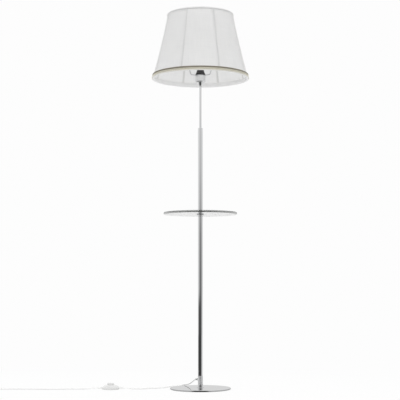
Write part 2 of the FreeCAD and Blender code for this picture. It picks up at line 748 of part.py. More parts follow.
def coil_stations():
    """Stations a quarter turn apart, set so that one falls on the reversal, then the lead-out."""
    total = 2 * math.pi * COIL_TURNS
    quarter = math.pi / 2
    first = (total / 2) % quarter
    angles = [0.0] + ([first] if first > 1e-6 else [])
    while angles[-1] + quarter < total - 1e-6:
        angles.append(angles[-1] + quarter)
    if total - angles[-1] > 1e-6:
        angles.append(total)
    stations = [coil_station(a) for a in angles]
    stations[0] = (V(COIL_X, COIL_ENTRY_Y, CORD_ON_FLOOR), V(-1, 0, 0))
    end = stations[-1][0] + V(-COIL_LEAD_DRIFT, -COIL_LEAD_OUT, 0)
    end.z = PLUG_Z
    return stations + [(end, V(0, -1, 0))]


PLUG_START = coil_stations()[-1][0] + V(0, -CORD_DIAMETER, 0)


def cord_coil():
    stations = coil_stations()
    edges = [Part.LineSegment(COIL_ENTRY, stations[0][0]).toShape()] + through(stations)
    edges.append(Part.LineSegment(stations[-1][0], PLUG_START).toShape())
    loop = 2 * math.pi * COIL_INNER_RADIUS
    print("cord coil, least gap to itself: %.2f" % least_gap(edges, CORD_DIAMETER, loop))
    return swept(edges, CORD_DIAMETER)


def coil_tie():
    """A soft strap round the bundle of turns, on the coil's right."""
    half = COIL_PITCH * COIL_TURNS / 4 + CORD_DIAMETER / 2 + TIE_GAP
    middle = COIL_X + COIL_MIDDLE_RADIUS
    top = COIL_UPPER_Z + CORD_DIAMETER / 2 + TIE_GAP
    t = TIE_THICKNESS

    def block(side, low, high, corner):
        body = Part.makeBox(2 * side, TIE_WIDTH, high - low,
                            V(middle - side, COIL_Y - TIE_WIDTH / 2, low))
        long_edges = [e for e in body.Edges
                      if abs(e.tangentAt(e.FirstParameter).y) > 0.99]
        return body.makeFillet(corner, long_edges)

    return block(half + t, 0, top + t, TIE_CORNER).cut(block(half, t, top, TIE_CORNER - t))


# ---------------------------------------------------------------- foot switch
MECHANISM_TOP = SWITCH_WALL + MECHANISM_HEIGHT
BUTTON_POST_BOTTOM = MECHANISM_TOP + MECHANISM_STUB_HEIGHT + BUTTON_TRAVEL + BUTTON_REST


def at_switch(shape):
    return shape.translated(V(SWITCH_X, SWITCH_Y, 0))


def cord_holes(radius):
    """The two side holes that let the cord into the switch, as one cutting bar."""
    half = SWITCH_DIAMETER / 2 + OVERCUT
    bar = Part.makeCylinder(radius, 2 * half, V(-half, 0, SWITCH_SPLIT), V(1, 0, 0))
    inside = Part.makeBox(2 * CLAMP_FROM_CENTRE, SWITCH_DIAMETER, COVER_HEIGHT,
                          V(-CLAMP_FROM_CENTRE, -SWITCH_DIAMETER / 2, 0))
    return bar.cut(inside)


def screw_places():
    step = 2 * math.pi / SCREW_COUNT
    start = math.radians(SCREW_FIRST_ANGLE)
    return [(SCREW_CIRCLE * math.cos(start + step * k), SCREW_CIRCLE * math.sin(start + step * k))
            for k in range(SCREW_COUNT)]


def switch_base():
    r, w, e = SWITCH_DIAMETER / 2, SWITCH_WALL, SWITCH_EDGE_RADIUS
    dish = turned([(0, 0), (r - e, 0), (r, e), (r, SWITCH_SPLIT), (r - w, SWITCH_SPLIT),
                   (r - w, w), (0, w)])
    for x, y in screw_places():
        dish = dish.cut(cylinder(SCREW_RADIUS + SLIP, -OVERCUT, w + OVERCUT, x, y))
        dish = dish.cut(cylinder(SCREW_HEAD_RADIUS + SLIP, -OVERCUT, SCREW_HEAD_HEIGHT, x, y))
    return at_switch(dish.cut(cord_holes(BOOT_RADIUS + SLIP)))


def switch_cover():
    r, w = SWITCH_DIAMETER / 2, SWITCH_WALL
    opening, lip = COVER_OPENING_DIAMETER / 2, COVER_HEIGHT - COVER_LIP
    shoulder, height = COVER_SHOULDER_RADIUS, COVER_SHOULDER_HEIGHT
    top = opening + w
    shell = turned([(r - w, SWITCH_SPLIT), (r, SWITCH_SPLIT), (shoulder, height, True),
                    (top, COVER_HEIGHT), (opening, COVER_HEIGHT), (opening, lip),
                    (top - w / 2, lip), (shoulder - w, height - w, True)])
    for x, y in screw_places():
        boss = cylinder(BOSS_RADIUS, SWITCH_WALL, BOSS_TOP, x, y)
        shell = shell.fuse(boss).cut(cylinder(SCREW_RADIUS + SLIP, 0, SCREW_HEIGHT + SEAT, x, y))
    return at_switch(shell.cut(cord_holes(BOOT_RADIUS + SLIP)))


def switch_button():
    r, w, post = BUTTON_DIAMETER / 2, BUTTON_WALL, BUTTON_POST_RADIUS
    flange_top = COVER_HEIGHT - COVER_LIP - SEAT
    low = flange_top - BUTTON_FLANGE
    rim, top = BUTTON_RIM_HEIGHT, BUTTON_TOP_HEIGHT
    sphere = (r ** 2 + (top - rim) ** 2) / (2 * (top - rim))
    half = math.asin(r / sphere) / 2
    crown = (sphere * math.sin(half), top - sphere + sphere * math.cos(half), True)
    button = turned([
        (r - w, low), (r + w, low), (r + w, flange_top), (r, flange_top), (r, rim), crown,
        (0, top), (0, BUTTON_POST_BOTTOM), (post, BUTTON_POST_BOTTOM), (post, rim - w),
        (r - w, rim - w)])
    edge = [e for e in button.Edges if e.Length > r and abs(e.CenterOfMass.z - rim) < 1e-6]
    return at_switch(button.makeFillet(BUTTON_EDGE_RADIUS, edge))


def switch_mechanism():
    block = Part.makeBox(MECHANISM_LENGTH, MECHANISM_WIDTH, MECHANISM_HEIGHT,
                         V(-MECHANISM_LENGTH / 2, -MECHANISM_WIDTH / 2, SWITCH_WALL))
    stub = cylinder(MECHANISM_STUB_RADIUS, MECHANISM_TOP, MECHANISM_TOP + MECHANISM_STUB_HEIGHT)
    return at_switch(block.fuse(stub))


def switch_contacts():
    length, width, height = CONTACT_STRIP
    strips = [Part.makeBox(length, width, height,
                           V(side * (MECHANISM_LENGTH / 2 - length / 2) - length / 2,
                             across * MECHANISM_WIDTH / 4 - width / 2, MECHANISM_TOP))
              for side in (-1, 1) for across in (-1, 1)]
    return at_switch(Part.makeCompound(strips))


def switch_spring():
    """A return spring between the mechanism and the button's post."""
    low = MECHANISM_TOP + SPRING_WIRE / 2 + SLIP
    high = BUTTON_POST_BOTTOM - SPRING_WIRE / 2 - SLIP
    total = 2 * math.pi * SPRING_TURNS
    stations = []
    for k in range(4 * SPRING_TURNS + 1):
        a = total * k / (4 * SPRING_TURNS)
        heading = V(-SPRING_RADIUS * math.sin(a), SPRING_RADIUS * math.cos(a),
                    (high - low) / total).normalize()
        place = V(SPRING_RADIUS * math.cos(a), SPRING_RADIUS * math.sin(a),
                  low + (high - low) * a / total)
        stations.append((place, heading))
    edges = through(stations)
    print("switch spring, least gap to itself: %.2f"
          % least_gap(edges, SPRING_WIRE, 2 * math.pi * SPRING_RADIUS))
    return at_switch(swept(edges, SPRING_WIRE))


def switch_screws():
    screws = [cylinder(SCREW_HEAD_RADIUS, SLIP, SCREW_HEAD_HEIGHT, x, y)
              .fuse(cylinder(SCREW_RADIUS, SCREW_HEAD_HEIGHT, SCREW_HEIGHT, x, y))
              for x, y in screw_places()]
    return at_switch(Part.makeCompound(screws))


def cord_clamps():
    """Bars that press the cord's ends into the switch's base."""
    length, width, height = CLAMP_SIZE
    low = SWITCH_SPLIT + CORD_DIAMETER / 2 + SLIP
    bars = []
    for side in (-1, 1):
        x = side * (CLAMP_FROM_CENTRE - length / 2)
        bar = Part.makeBox(length, width, height, V(x - length / 2, -width / 2, low))
        for across in (-1, 1):
            foot = Part.makeBox(length, width / 5, low - SWITCH_WALL,
                                V(x - length / 2, across * width * 0.4 - width / 10, SWITCH_WALL))
            bar = bar.fuse(foot)
        bars.append(bar.removeSplitter())
    return at_switch(Part.makeCompound(bars))


def switch_leads():
    """The cord's two ends inside the switch, from the boots to the mechanism."""
    start = MECHANISM_LENGTH / 2 + SLIP
    end = SWITCH_DIAMETER / 2 - SWITCH_WALL
    leads = [Part.makeCylinder(CORD_DIAMETER / 2, end - start, V(side * start, 0, SWITCH_SPLIT),
                               V(side, 0, 0)) for side in (-1, 1)]
    return at_switch(Part.makeCompound(leads))


def switch_boots():
    inside, mouth = SWITCH_DIAMETER / 2 - SWITCH_WALL, BOOT_END
    boot = turned([(0, inside), (BOOT_RADIUS, inside), (BOOT_RADIUS, SWITCH_DIAMETER / 2 + BOOT_COLLAR),
                   (BOOT_END_RADIUS, mouth), (0, mouth)])
    boots = [along(boot, V(0, 0, SWITCH_SPLIT), V(side, 0, 0)) for side in (-1, 1)]
    return at_switch(Part.makeCompound(boots))


# ---------------------------------------------------------------- plug
PLUG_BODY_START = PLUG_START.y - PLUG_BOOT_LENGTH
PLUG_FACE = PLUG_BODY_START - PLUG_BODY_LENGTH


def plug_boot():
    boot = turned([(0, 0), (BOOT_END_RADIUS, 0), (PLUG_BOOT_RADIUS, PLUG_BOOT_LENGTH),
                   (0, PLUG_BOOT_LENGTH)])
    return along(boot, PLUG_START, V(0, -1, 0))


def plug_body():
    x, half, neck = PLUG_START.x, PLUG_WIDTH / 2, PLUG_NECK_WIDTH / 2
    shoulder = PLUG_BODY_START - PLUG_BODY_LENGTH / 2
    outline = [V(x - neck, PLUG_BODY_START, 0), V(x + neck, PLUG_BODY_START, 0),
               V(x + half, shoulder, 0), V(x + half, PLUG_FACE, 0), V(x - half, PLUG_FACE, 0),
               V(x - half, shoulder, 0), V(x - neck, PLUG_BODY_START, 0)]
    body = Part.Face(Part.makePolygon(outline)).extrude(V(0, 0, PLUG_THICKNESS))
    rims = [e for e in body.Edges if abs(e.tangentAt(e.FirstParameter).z) < 0.5
            and abs(e.CenterOfMass.y - PLUG_FACE) > 1 and abs(e.CenterOfMass.y - PLUG_BODY_START) > 1]
    body = body.makeFillet(PLUG_EDGE_RADIUS, rims)
    for side in (-1, 1):
        body = body.cut(Part.makeCylinder(PIN_ROOT_DIAMETER / 2 + SLIP, PIN_DEPTH + SLIP,
                                          V(x + side * PIN_SPACING / 2, PLUG_FACE, PLUG_Z),
                                          V(0, 1, 0)))
    return body


def plug_pins():
    r, root, length = PIN_DIAMETER / 2, PIN_ROOT_DIAMETER / 2, PIN_LENGTH + PIN_DEPTH
    tip = length - r
    pin = turned([(0, 0), (root, 0), (root, PIN_DEPTH), (r, PIN_DEPTH), (r, tip),
                  (r * math.sqrt(0.5), tip + r * math.sqrt(0.5), True), (0, length)])
    pins = [along(pin, V(PLUG_START.x + side * PIN_SPACING / 2, PLUG_FACE + PIN_DEPTH, PLUG_Z),
                  V(0, -1, 0)) for side in (-1, 1)]
    return Part.makeCompound(pins)


# ---------------------------------------------------------------- all nodes
def nodes():
    return {
        "base_pad": base_pad(),
        "base_plate": base_plate(),
        "base_washer": base_washer(),
        "base_nut": base_nut(),
        "base_nipple": base_nipple(),
        "foot_ring": foot_ring(),
        "cord_collar": cord_collar(),
        "cord_grommet": cord_grommet(),
        "collar_nipple": collar_nipple(),
        "lower_tube": tube(COLLAR_TOP, LOWER_TUBE_LENGTH),
        "lower_tube_plugs": tube_plugs(COLLAR_TOP, LOWER_TUBE_LENGTH),
        "table_nipple": table_nipple(),
        "table_lower_flange": table_flange(LOWER_FLANGE_TOP, -1),
        "table_lower_gasket": table_gasket(LOWER_FLANGE_TOP),
        "table_top": table_top(),
        "table_bush": table_bush(),
        "table_upper_gasket": table_gasket(GLASS_TOP),
        "table_upper_flange": table_flange(UPPER_FLANGE_BOTTOM, 1),
        "upper_tube": tube(UPPER_FLANGE_TOP, UPPER_TUBE_LENGTH),
        "upper_tube_plugs": tube_plugs(UPPER_FLANGE_TOP, UPPER_TUBE_LENGTH),
        "tube_cap": tube_cap(),
        "stem": stem(),
        "inner_cable": inner_cable(),
        "neck_cone": neck_cone(),
        "holder_cup": holder_cup(),
        "holder_lock_nut": holder_lock_nut(),
        "holder_cap": holder_cap(),
        "holder_body": holder_body(),
        "holder_insulator": holder_insulator(),
        "screw_shell": screw_shell(),
        "centre_contact": centre_contact(),
        "shade_ring": shade_ring(),
        "bulb_cap": bulb_cap(),
        "bulb_glass": bulb_glass(),
        "fitter_ring": fitter_ring(),
        "spider_arms": spider_arms(),
        "shade_top_ring": frame_ring(TOP_RING_Z),
        "shade_bottom_ring": frame_ring(BOTTOM_RING_Z),
        "shade_ribs": shade_ribs(),
        "shade_cover": shade_cover(),
        "top_hem": top_hem(),
        "braid_trim": braid_trim(),
        "cord_lamp_side": cord_stretch(lamp_side_route(), "cord, lamp side"),
        "switch_base": switch_base(),
        "switch_cover": switch_cover(),
        "switch_button": switch_button(),
        "switch_spring": switch_spring(),
        "switch_mechanism": switch_mechanism(),
        "switch_contacts": switch_contacts(),
        "switch_screws": switch_screws(),
        "cord_clamps": cord_clamps(),
        "switch_leads": switch_leads(),
        "switch_boots": switch_boots(),
        "cord_plug_side": cord_stretch(plug_side_route(), "cord, plug side"),
        "cord_coil": cord_coil(),
        "coil_tie": coil_tie(),
        "plug_boot": plug_boot(),
        "plug_body": plug_body(),
        "plug_pins": plug_pins(),
    }


def main():
    os.makedirs("parts", exist_ok=True)
    for name, shape in nodes().items():
        if not shape.isValid():
            raise ValueError(name + " is not a valid shape")
        shape.exportStep("parts/" + name + ".step")


main()
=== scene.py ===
import math

import bmesh
import bpy
from mathutils import Matrix, Vector


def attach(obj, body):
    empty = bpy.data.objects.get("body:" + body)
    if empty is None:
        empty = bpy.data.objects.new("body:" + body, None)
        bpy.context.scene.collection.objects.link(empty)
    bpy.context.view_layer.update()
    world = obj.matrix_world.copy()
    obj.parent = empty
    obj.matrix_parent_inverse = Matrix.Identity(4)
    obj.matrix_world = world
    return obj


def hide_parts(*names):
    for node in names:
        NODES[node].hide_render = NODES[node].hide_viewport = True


bl_info = {
    "name": "Floor lamp with glass table",
    "version": (1, 0, 0),
    "blender": (4, 5, 0),
    "location": "3D View > Sidebar > Floor Lamp",
    "description": "Dresses a packed floor lamp with cloth, braid, chrome, glass and its cord",
    "category": "Add Mesh",
}

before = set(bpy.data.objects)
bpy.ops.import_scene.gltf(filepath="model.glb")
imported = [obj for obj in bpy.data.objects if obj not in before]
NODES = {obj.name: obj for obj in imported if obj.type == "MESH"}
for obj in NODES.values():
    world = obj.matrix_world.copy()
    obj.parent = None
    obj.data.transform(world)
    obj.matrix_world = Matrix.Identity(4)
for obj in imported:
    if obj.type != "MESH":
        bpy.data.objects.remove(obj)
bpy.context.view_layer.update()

MM = 0.001
TURN = 2 * math.pi

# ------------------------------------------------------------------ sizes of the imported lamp, mm
SHADE_LOW = 1268.6              # heights of the cloth's lower and upper edges
SHADE_HIGH = 1538.6
SHADE_LOW_RADIUS = 199.0
SHADE_HIGH_RADIUS = 135.7
SHADE_TAPER = (SHADE_LOW_RADIUS - SHADE_HIGH_RADIUS) / (SHADE_HIGH - SHADE_LOW)
RING_LOW = SHADE_LOW + 2.05     # middle heights of the frame's two rings
RING_HIGH = SHADE_HIGH - 2.05
RING_DEPTH = 2.93               # from the cloth's face to the middle of a ring's wire
PANELS = 8                      # of cloth, with a rib at each edge
RIB_FIRST = math.radians(22.5)  # where the first rib stands, from +X
BRAID_HEIGHT = 17.6

SWITCH_MIDDLE = (-363.0, 4.0, 6.5)      # where the cord passes through the foot switch
SWITCH_RELIEF_END = 54.0                # from the switch's middle
SWITCH_RELIEF_LENGTH = 22.0
PLUG_RELIEF_LENGTH = 24.0
ON_FLOOR = 2.75                         # height of the cord's middle on the floor
GROMMET_MOUTH = (-18.02, 12.62, 40.0)   # where the cord leaves the collar
COIL_MIDDLE = (-866.0, -42.48)
PLUG_START = (-905.98, -74.98, 7.0)     # where the cord enters the plug's strain relief


def cloth_radius(z):
    """The cloth's outer radius at a height, in millimetres."""
    return SHADE_LOW_RADIUS - (z - SHADE_LOW) * SHADE_TAPER


# ------------------------------------------------------------------ settings
class LAMP_PG_stage(bpy.types.PropertyGroup):
    """Floor, light and camera"""
    background: bpy.props.FloatProperty(
        name="Background", description="Brightness of the floor and the backdrop in the picture",
        default=0.982, min=0.0, max=1.0, subtype="FACTOR")
    floor_shadow: bpy.props.FloatProperty(
        name="Floor shadow", description="How much of the floor's brightness the shadow can take",
        default=0.15, min=0.0, max=1.0, subtype="FACTOR")
    sky_front: bpy.props.FloatProperty(
        name="Light from the front", description="Strength of the room's light on the front",
        default=0.95, min=0.0)
    sky_side: bpy.props.FloatProperty(
        name="Light from the sides", description="Strength of the room's light on the sides",
        default=0.62, min=0.0)
    sky_back: bpy.props.FloatProperty(
        name="Light from the back", description="Strength of the room's light on the back",
        default=2.0, min=0.0)
    sky_top: bpy.props.FloatProperty(
        name="Light from above", description="Strength of the room's light from overhead",
        default=1.2, min=0.0)
    key_power: bpy.props.FloatProperty(
        name="Soft boxes", description="Power of each of the two soft boxes in front",
        default=10.0, min=0.0, unit="POWER")
    camera_distance: bpy.props.FloatProperty(
        name="Camera distance", description="From the pole to the camera",
        default=4.5247, unit="LENGTH")
    camera_height: bpy.props.FloatProperty(
        name="Camera height", description="Height of the camera over the floor",
        default=0.4133, unit="LENGTH")
    camera_tilt: bpy.props.FloatProperty(
        name="Camera tilt", description="How far the camera looks up",
        default=math.radians(4.477), subtype="ANGLE")
    camera_lens: bpy.props.FloatProperty(
        name="Lens", description="Focal length in millimetres on a 36 mm sensor",
        default=99.76, min=1.0, unit="CAMERA")


class LAMP_PG_shade(bpy.types.PropertyGroup):
    """Cloth, braid and frame of the shade"""
    sag: bpy.props.FloatProperty(
        name="Hollow", description="How far the cloth draws in between two ribs",
        default=0.0042, unit="LENGTH")
    thickness: bpy.props.FloatProperty(
        name="Cloth thickness", description="Thickness of the cloth with its backing",
        default=0.0007, unit="LENGTH")
    cloth: bpy.props.FloatVectorProperty(
        name="Cloth colour", description="Colour of the shade's cloth",
        default=(0.93, 0.93, 0.928), size=3, subtype="COLOR", min=0.0, max=1.0)
    through: bpy.props.FloatProperty(
        name="Light through", description="Share of the light that each face of the cloth "
        "lets through", default=0.74, min=0.0, max=1.0, subtype="FACTOR")
    braid_dark: bpy.props.FloatVectorProperty(
        name="Dark braid", description="Colour of the braid's thick twisted cords",
        default=(0.26, 0.235, 0.175), size=3, subtype="COLOR", min=0.0, max=1.0)
    braid_mid: bpy.props.FloatVectorProperty(
        name="Beige braid", description="Colour of the braid's plaited middle",
        default=(0.65, 0.62, 0.51), size=3, subtype="COLOR", min=0.0, max=1.0)
    braid_pale: bpy.props.FloatVectorProperty(
        name="Pale braid", description="Colour of the braid's tape and outer edges",
        default=(0.84, 0.82, 0.75), size=3, subtype="COLOR", min=0.0, max=1.0)


class LAMP_PG_table(bpy.types.PropertyGroup):
    """Glass of the table"""
    tint: bpy.props.FloatVectorProperty(
        name="Glass tint", description="Colour that the light takes on in the glass",
        default=(0.64, 0.645, 0.64), size=3, subtype="COLOR", min=0.0, max=1.0)
    depth: bpy.props.FloatProperty(
        name="Tint strength", description="How fast the glass darkens with its depth",
        default=8.5, min=0.0)


class LAMP_PG_metal(bpy.types.PropertyGroup):
    """Bright and satin metal"""
    chrome: bpy.props.FloatVectorProperty(
        name="Chrome colour", description="Colour of the polished chrome",
        default=(0.77, 0.775, 0.78), size=3, subtype="COLOR", min=0.0, max=1.0)
    satin: bpy.props.FloatVectorProperty(
        name="Satin colour", description="Colour of the satin collar",
        default=(0.80, 0.805, 0.81), size=3, subtype="COLOR", min=0.0, max=1.0)


class LAMP_PG_cord(bpy.types.PropertyGroup):
    """Cord, foot switch and plug"""
    diameter: bpy.props.FloatProperty(
        name="Cord diameter", description="Outside diameter of the cord",
        default=0.0055, unit="LENGTH")
    colour: bpy.props.FloatVectorProperty(
        name="Cord colour", description="Colour of the cord's jacket",
        default=(0.92, 0.92, 0.915), size=3, subtype="COLOR", min=0.0, max=1.0)
    housing: bpy.props.FloatVectorProperty(
        name="Housing colour", description="Colour of the foot switch and the plug",
        default=(0.73, 0.73, 0.725), size=3, subtype="COLOR", min=0.0, max=1.0)


class LAMP_PG_settings(bpy.types.PropertyGroup):
    """All sizes and colours of the lamp"""
    stage: bpy.props.PointerProperty(type=LAMP_PG_stage)
    shade: bpy.props.PointerProperty(type=LAMP_PG_shade)
    table: bpy.props.PointerProperty(type=LAMP_PG_table)
    metal: bpy.props.PointerProperty(type=LAMP_PG_metal)
    cord: bpy.props.PointerProperty(type=LAMP_PG_cord)


# ------------------------------------------------------------------ mesh helpers
def placed(name, data):
    """A new object in the scene, at the origin."""
    piece = bpy.data.objects.new(name, data)
    bpy.context.scene.collection.objects.link(piece)
    return piece


def mesh_of(name, bm, material):
    """A mesh out of a bmesh, which it frees."""
    mesh = bpy.data.meshes.new(name)
    bm.to_mesh(mesh)
    bm.free()
    if material:
        mesh.materials.append(material)
    return mesh


def finished(name, bm, material, sharp_above=35.0):
    """A smooth-shaded piece that rides on the lamp, sharp where it turns by more degrees."""
    mesh = mesh_of(name, bm, material)
    mesh.polygons.foreach_set("use_smooth", [True] * len(mesh.polygons))
    mesh.set_sharp_from_angle(angle=math.radians(sharp_above))
    piece = placed(name, mesh)
    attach(piece, "lamp")
    return piece


def turned_by(bm, angle, steps, copies=False):
    """Sweeps all of a bmesh round Z, or sets copies of it along the way."""
    bmesh.ops.spin(bm, geom=bm.verts[:] + bm.edges[:] + (bm.faces[:] if copies else []),
                   cent=(0, 0, 0), axis=(0, 0, 1), dvec=(0, 0, 0), angle=angle, steps=steps,
                   use_merge=False, use_duplicate=copies)


def spun(profile, segments, closed=False):
    """A bmesh of a profile of (radius, height) pairs in millimetres, turned once round Z."""
    bm = bmesh.new()
    verts = [bm.verts.new((r * MM, 0, z * MM)) for r, z in profile]
    pairs = list(zip(verts, verts[1:])) + ([(verts[-1], verts[0])] if closed else [])
    edges = [bm.edges.new(pair) for pair in pairs]
    bmesh.ops.spin(bm, geom=verts + edges, cent=(0, 0, 0), axis=(0, 0, 1), dvec=(0, 0, 0),
                   angle=TURN, steps=segments, use_merge=True, use_duplicate=False)
    bmesh.ops.remove_doubles(bm, verts=bm.verts, dist=1e-7)
    bmesh.ops.recalc_face_normals(bm, faces=bm.faces)
    return bm


def aimed(origin, direction):
    """The matrix that lays a shape made along +Z from the origin along a direction, in metres."""
    turn = Vector((0, 0, 1)).rotation_difference(Vector(direction)).to_matrix().to_4x4()
    return Matrix.Translation(Vector(origin) * MM) @ turn


def joined(parts):
    """One bmesh out of several."""
    whole = bmesh.new()
    for part in parts:
        mesh = mesh_of("part", part, None)
        whole.from_mesh(mesh)
        bpy.data.meshes.remove(mesh)
    return whole


# ------------------------------------------------------------------ material helpers
class Recipe:
    """A material, or the world, under construction."""

    def __init__(self, name, world=False):
        self.made = (bpy.data.worlds if world else bpy.data.materials).new(name)
        self.made.use_nodes = True
        self.tree = self.made.node_tree
        self.tree.nodes.clear()
        self.output = self.add("OutputWorld" if world else "OutputMaterial")

    def add(self, kind, sockets=None, **settings):
        """A shader node; a socket is given another node's output or a plain value."""
        node = self.tree.nodes.new("ShaderNode" + kind)
        for key, value in settings.items():
            setattr(node, key, value)
        for key, value in (sockets or {}).items():
            if isinstance(value, bpy.types.NodeSocket):
                self.tree.links.new(value, node.inputs[key])
            else:
                node.inputs[key].default_value = value
        return node

    def coords(self, scale=(1, 1, 1), output="Object"):
        """The piece's own coordinates, stretched along the axes."""
        where = self.add("TexCoord")
        return self.add("Mapping", {"Vector": where.outputs[output], "Scale": scale}).outputs[0]

    def noise(self, vector, scale, detail=3.0, roughness=0.5):
        """Soft random mottling around 0.5."""
        return self.add("TexNoise", {"Vector": vector, "Scale": scale, "Detail": detail,
                                     "Roughness": roughness}).outputs["Fac"]

    def span(self, value, low, high, start=0.0, end=1.0, smooth=False):
        """Takes a value from between start and end to between low and high."""
        kind = "SMOOTHSTEP" if smooth else "LINEAR"
        return self.add("MapRange", {"Value": value, "From Min": start, "From Max": end,
                                     "To Min": low, "To Max": high},
                        interpolation_type=kind).outputs[0]

    def mix(self, share, first, second):
        """One colour at a share of 0, the other at a share of 1."""
        return self.add("Mix", {0: share, 6: first, 7: second}, data_type="RGBA").outputs[2]

    def maths(self, operation, first, second=0.0, third=0.0):
        """One of the sums of the Math node."""
        return self.add("Math", {0: first, 1: second, 2: third}, operation=operation).outputs[0]

    def bump(self, height, distance, strength):
        """Relief of a depth in metres."""
        return self.add("Bump", {"Height": height, "Distance": distance,
                                 "Strength": strength}).outputs[0]

    def principled(self, **sockets):
        """The main shader, with its sockets named with underscores for spaces."""
        names = {key.replace("_", " "): value for key, value in sockets.items()}
        return self.add("BsdfPrincipled", names)

    def apart(self, output):
        """The three parts of a coordinate."""
        where = self.add("TexCoord").outputs[output]
        return self.add("SeparateXYZ", {"Vector": where}).outputs

    def in_plan(self, x, y):
        """Distance from the Z axis."""
        squares = self.maths("ADD", self.maths("MULTIPLY", x, x), self.maths("MULTIPLY", y, y))
        return self.maths("SQRT", squares)

    def done(self, shader, volume=None):
        """Plugs the shader in and hands over what was made."""
        self.tree.links.new(shader.outputs[0], self.output.inputs["Surface"])
        if volume:
            self.tree.links.new(volume.outputs[0], self.output.inputs["Volume"])
        return self.made


def rgba(colour, factor=1.0):
    """A colour, lighter or darker by a factor, with its alpha."""
    return (colour[0] * factor, colour[1] * factor, colour[2] * factor, 1.0)


def grey(value):
    """A neutral colour."""
    return (value, value, value, 1.0)


def polished_metal(name, colour, rough=(0.025, 0.075)):
    """Plated metal with the faint haze and wipe marks of handling."""
    r = Recipe(name)
    haze = r.noise(r.coords(), 14.0, 5.0, 0.6)
    wipes = r.noise(r.coords((90, 90, 9)), 1.0, 2.0)
    both = r.maths("MULTIPLY", haze, wipes)
    tone = r.mix(r.span(both, 0.0, 1.0, 0.1, 0.5), rgba(colour, 0.97), rgba(colour, 1.02))
    return r.done(r.principled(
        Base_Color=tone, Metallic=1.0, Roughness=r.span(both, rough[0], rough[1], 0.1, 0.5),
        Specular_Tint=(0.86, 0.86, 0.86, 1.0), Normal=r.bump(wipes, 0.00001, 0.15)))


def brushed_metal(name, colour, rough):
    """Metal with fine marks that run round the piece."""
    r = Recipe(name)
    lines = r.noise(r.coords((6, 6, 900)), 1.0, 3.0, 0.65)
    patches = r.noise(r.coords(), 60.0, 3.0)
    tone = r.mix(lines, rgba(colour, 0.86), rgba(colour, 1.06))
    base = r.span(patches, rough - 0.06, rough + 0.06, 0.3, 0.7)
    return r.done(r.principled(
        Base_Color=tone, Metallic=1.0, Roughness=base, Normal=r.bump(lines, 0.00003, 0.5)))


def moulded_plastic(name, colour, rough, coat=0.0, grain=900.0):
    """Moulded plastic with a very fine skin and slight unevenness of gloss."""
    r = Recipe(name)
    skin = r.noise(r.coords(), grain, 2.0)
    waves = r.noise(r.coords(), 45.0, 3.0)
    tone = r.mix(waves, rgba(colour, 0.96), rgba(colour, 1.02))
    return r.done(r.principled(
        Base_Color=tone, Roughness=r.span(waves, rough - 0.05, rough + 0.07, 0.3, 0.7),
        Coat_Weight=coat, Coat_Roughness=0.12, IOR=1.46,
        Normal=r.bump(skin, 0.00004, 0.35)))


def clear_plastic(name, colour):
    """Soft see-through plastic."""
    r = Recipe(name)
    cloud = r.noise(r.coords(), 120.0, 3.0)
    return r.done(r.principled(
        Base_Color=rgba(colour), Transmission_Weight=0.75, IOR=1.44,
        Roughness=r.span(cloud, 0.18, 0.34, 0.3, 0.7)))


def pad_rubber():
    """Closed foam rubber under the base."""
    r = Recipe("pad_rubber")
    cells = r.noise(r.coords(), 1400.0, 2.0)
    tone = r.mix(cells, (0.26, 0.26, 0.26, 1), (0.40, 0.40, 0.395, 1))
    return r.done(r.principled(Base_Color=tone, Roughness=0.85,
                               Normal=r.bump(cells, 0.0002, 0.6)))


def table_glass(settings):
    """Clear float glass, faintly grey-green in its depth, with a few wipe marks."""
    r = Recipe("table_glass")
    wipes = r.noise(r.coords((5, 22, 5)), 1.0, 5.0, 0.6)
    shader = r.principled(
        Base_Color=(0.985, 0.99, 0.985, 1), Transmission_Weight=1.0, IOR=1.5,
        Roughness=r.span(wipes, 0.0, 0.018, 0.45, 0.75))
    depth = r.add("VolumeAbsorption", {"Color": rgba(settings.tint), "Density": settings.depth})
    return r.done(shader, depth)


def opal_glass():
    """White glass of the bulb, which lets light in a little."""
    r = Recipe("bulb_opal")
    cloud = r.noise(r.coords(), 30.0, 2.0)
    tone = r.mix(cloud, (0.86, 0.86, 0.83, 1), (0.90, 0.90, 0.88, 1))
    return r.done(r.principled(Base_Color=tone, Roughness=0.12, Coat_Weight=0.6,
                               Coat_Roughness=0.03, Subsurface_Weight=0.25,
                               Subsurface_Radius=(0.004, 0.004, 0.004)))


def woven_cloth(name, colour, through, thread=0.00045):
    """Fine plain weave with slubs. It reads the piece's own map, which is in metres; through
    is the share of light that a face lets through, thread the width of one thread."""
    r = Recipe(name)
    per_metre = TURN / (2 * thread)
    along, up, _ = r.apart("UV")
    wobble = r.noise(r.coords((60, 60, 60), "UV"), 1.0, 2.0)
    across = r.maths("SINE", r.maths("MULTIPLY_ADD", along, per_metre, wobble))
    upwards = r.maths("SINE", r.maths("MULTIPLY_ADD", up, per_metre, wobble))
    weave = r.maths("MULTIPLY", across, upwards)
    warp = r.noise(r.coords((900, 14, 1), "UV"), 1.0, 4.0, 0.6)
    weft = r.noise(r.coords((18, 1100, 1), "UV"), 1.0, 4.0, 0.6)
    slubs = r.maths("ADD", warp, weft)
    height = r.maths("MULTIPLY_ADD", slubs, 0.7, weave)
    tone = r.mix(r.span(slubs, 0.0, 1.0, 0.7, 1.35), rgba(colour, 0.93), rgba(colour, 1.03))
    tone = r.mix(r.span(weave, 0.0, 0.10, -1.0, 1.0), tone, rgba(colour, 0.80))
    normal = r.bump(height, 0.00012, 0.55)
    face = r.principled(Base_Color=tone, Roughness=0.82, Sheen_Weight=0.25,
                        Sheen_Roughness=0.45, Specular_IOR_Level=0.25, Normal=normal)
    if not through:
        return r.done(face)
    back = r.add("BsdfTranslucent", {"Color": tone, "Normal": normal})
    both = r.add("MixShader", {0: through, 1: face.outputs[0], 2: back.outputs[0]})
    return r.done(both)


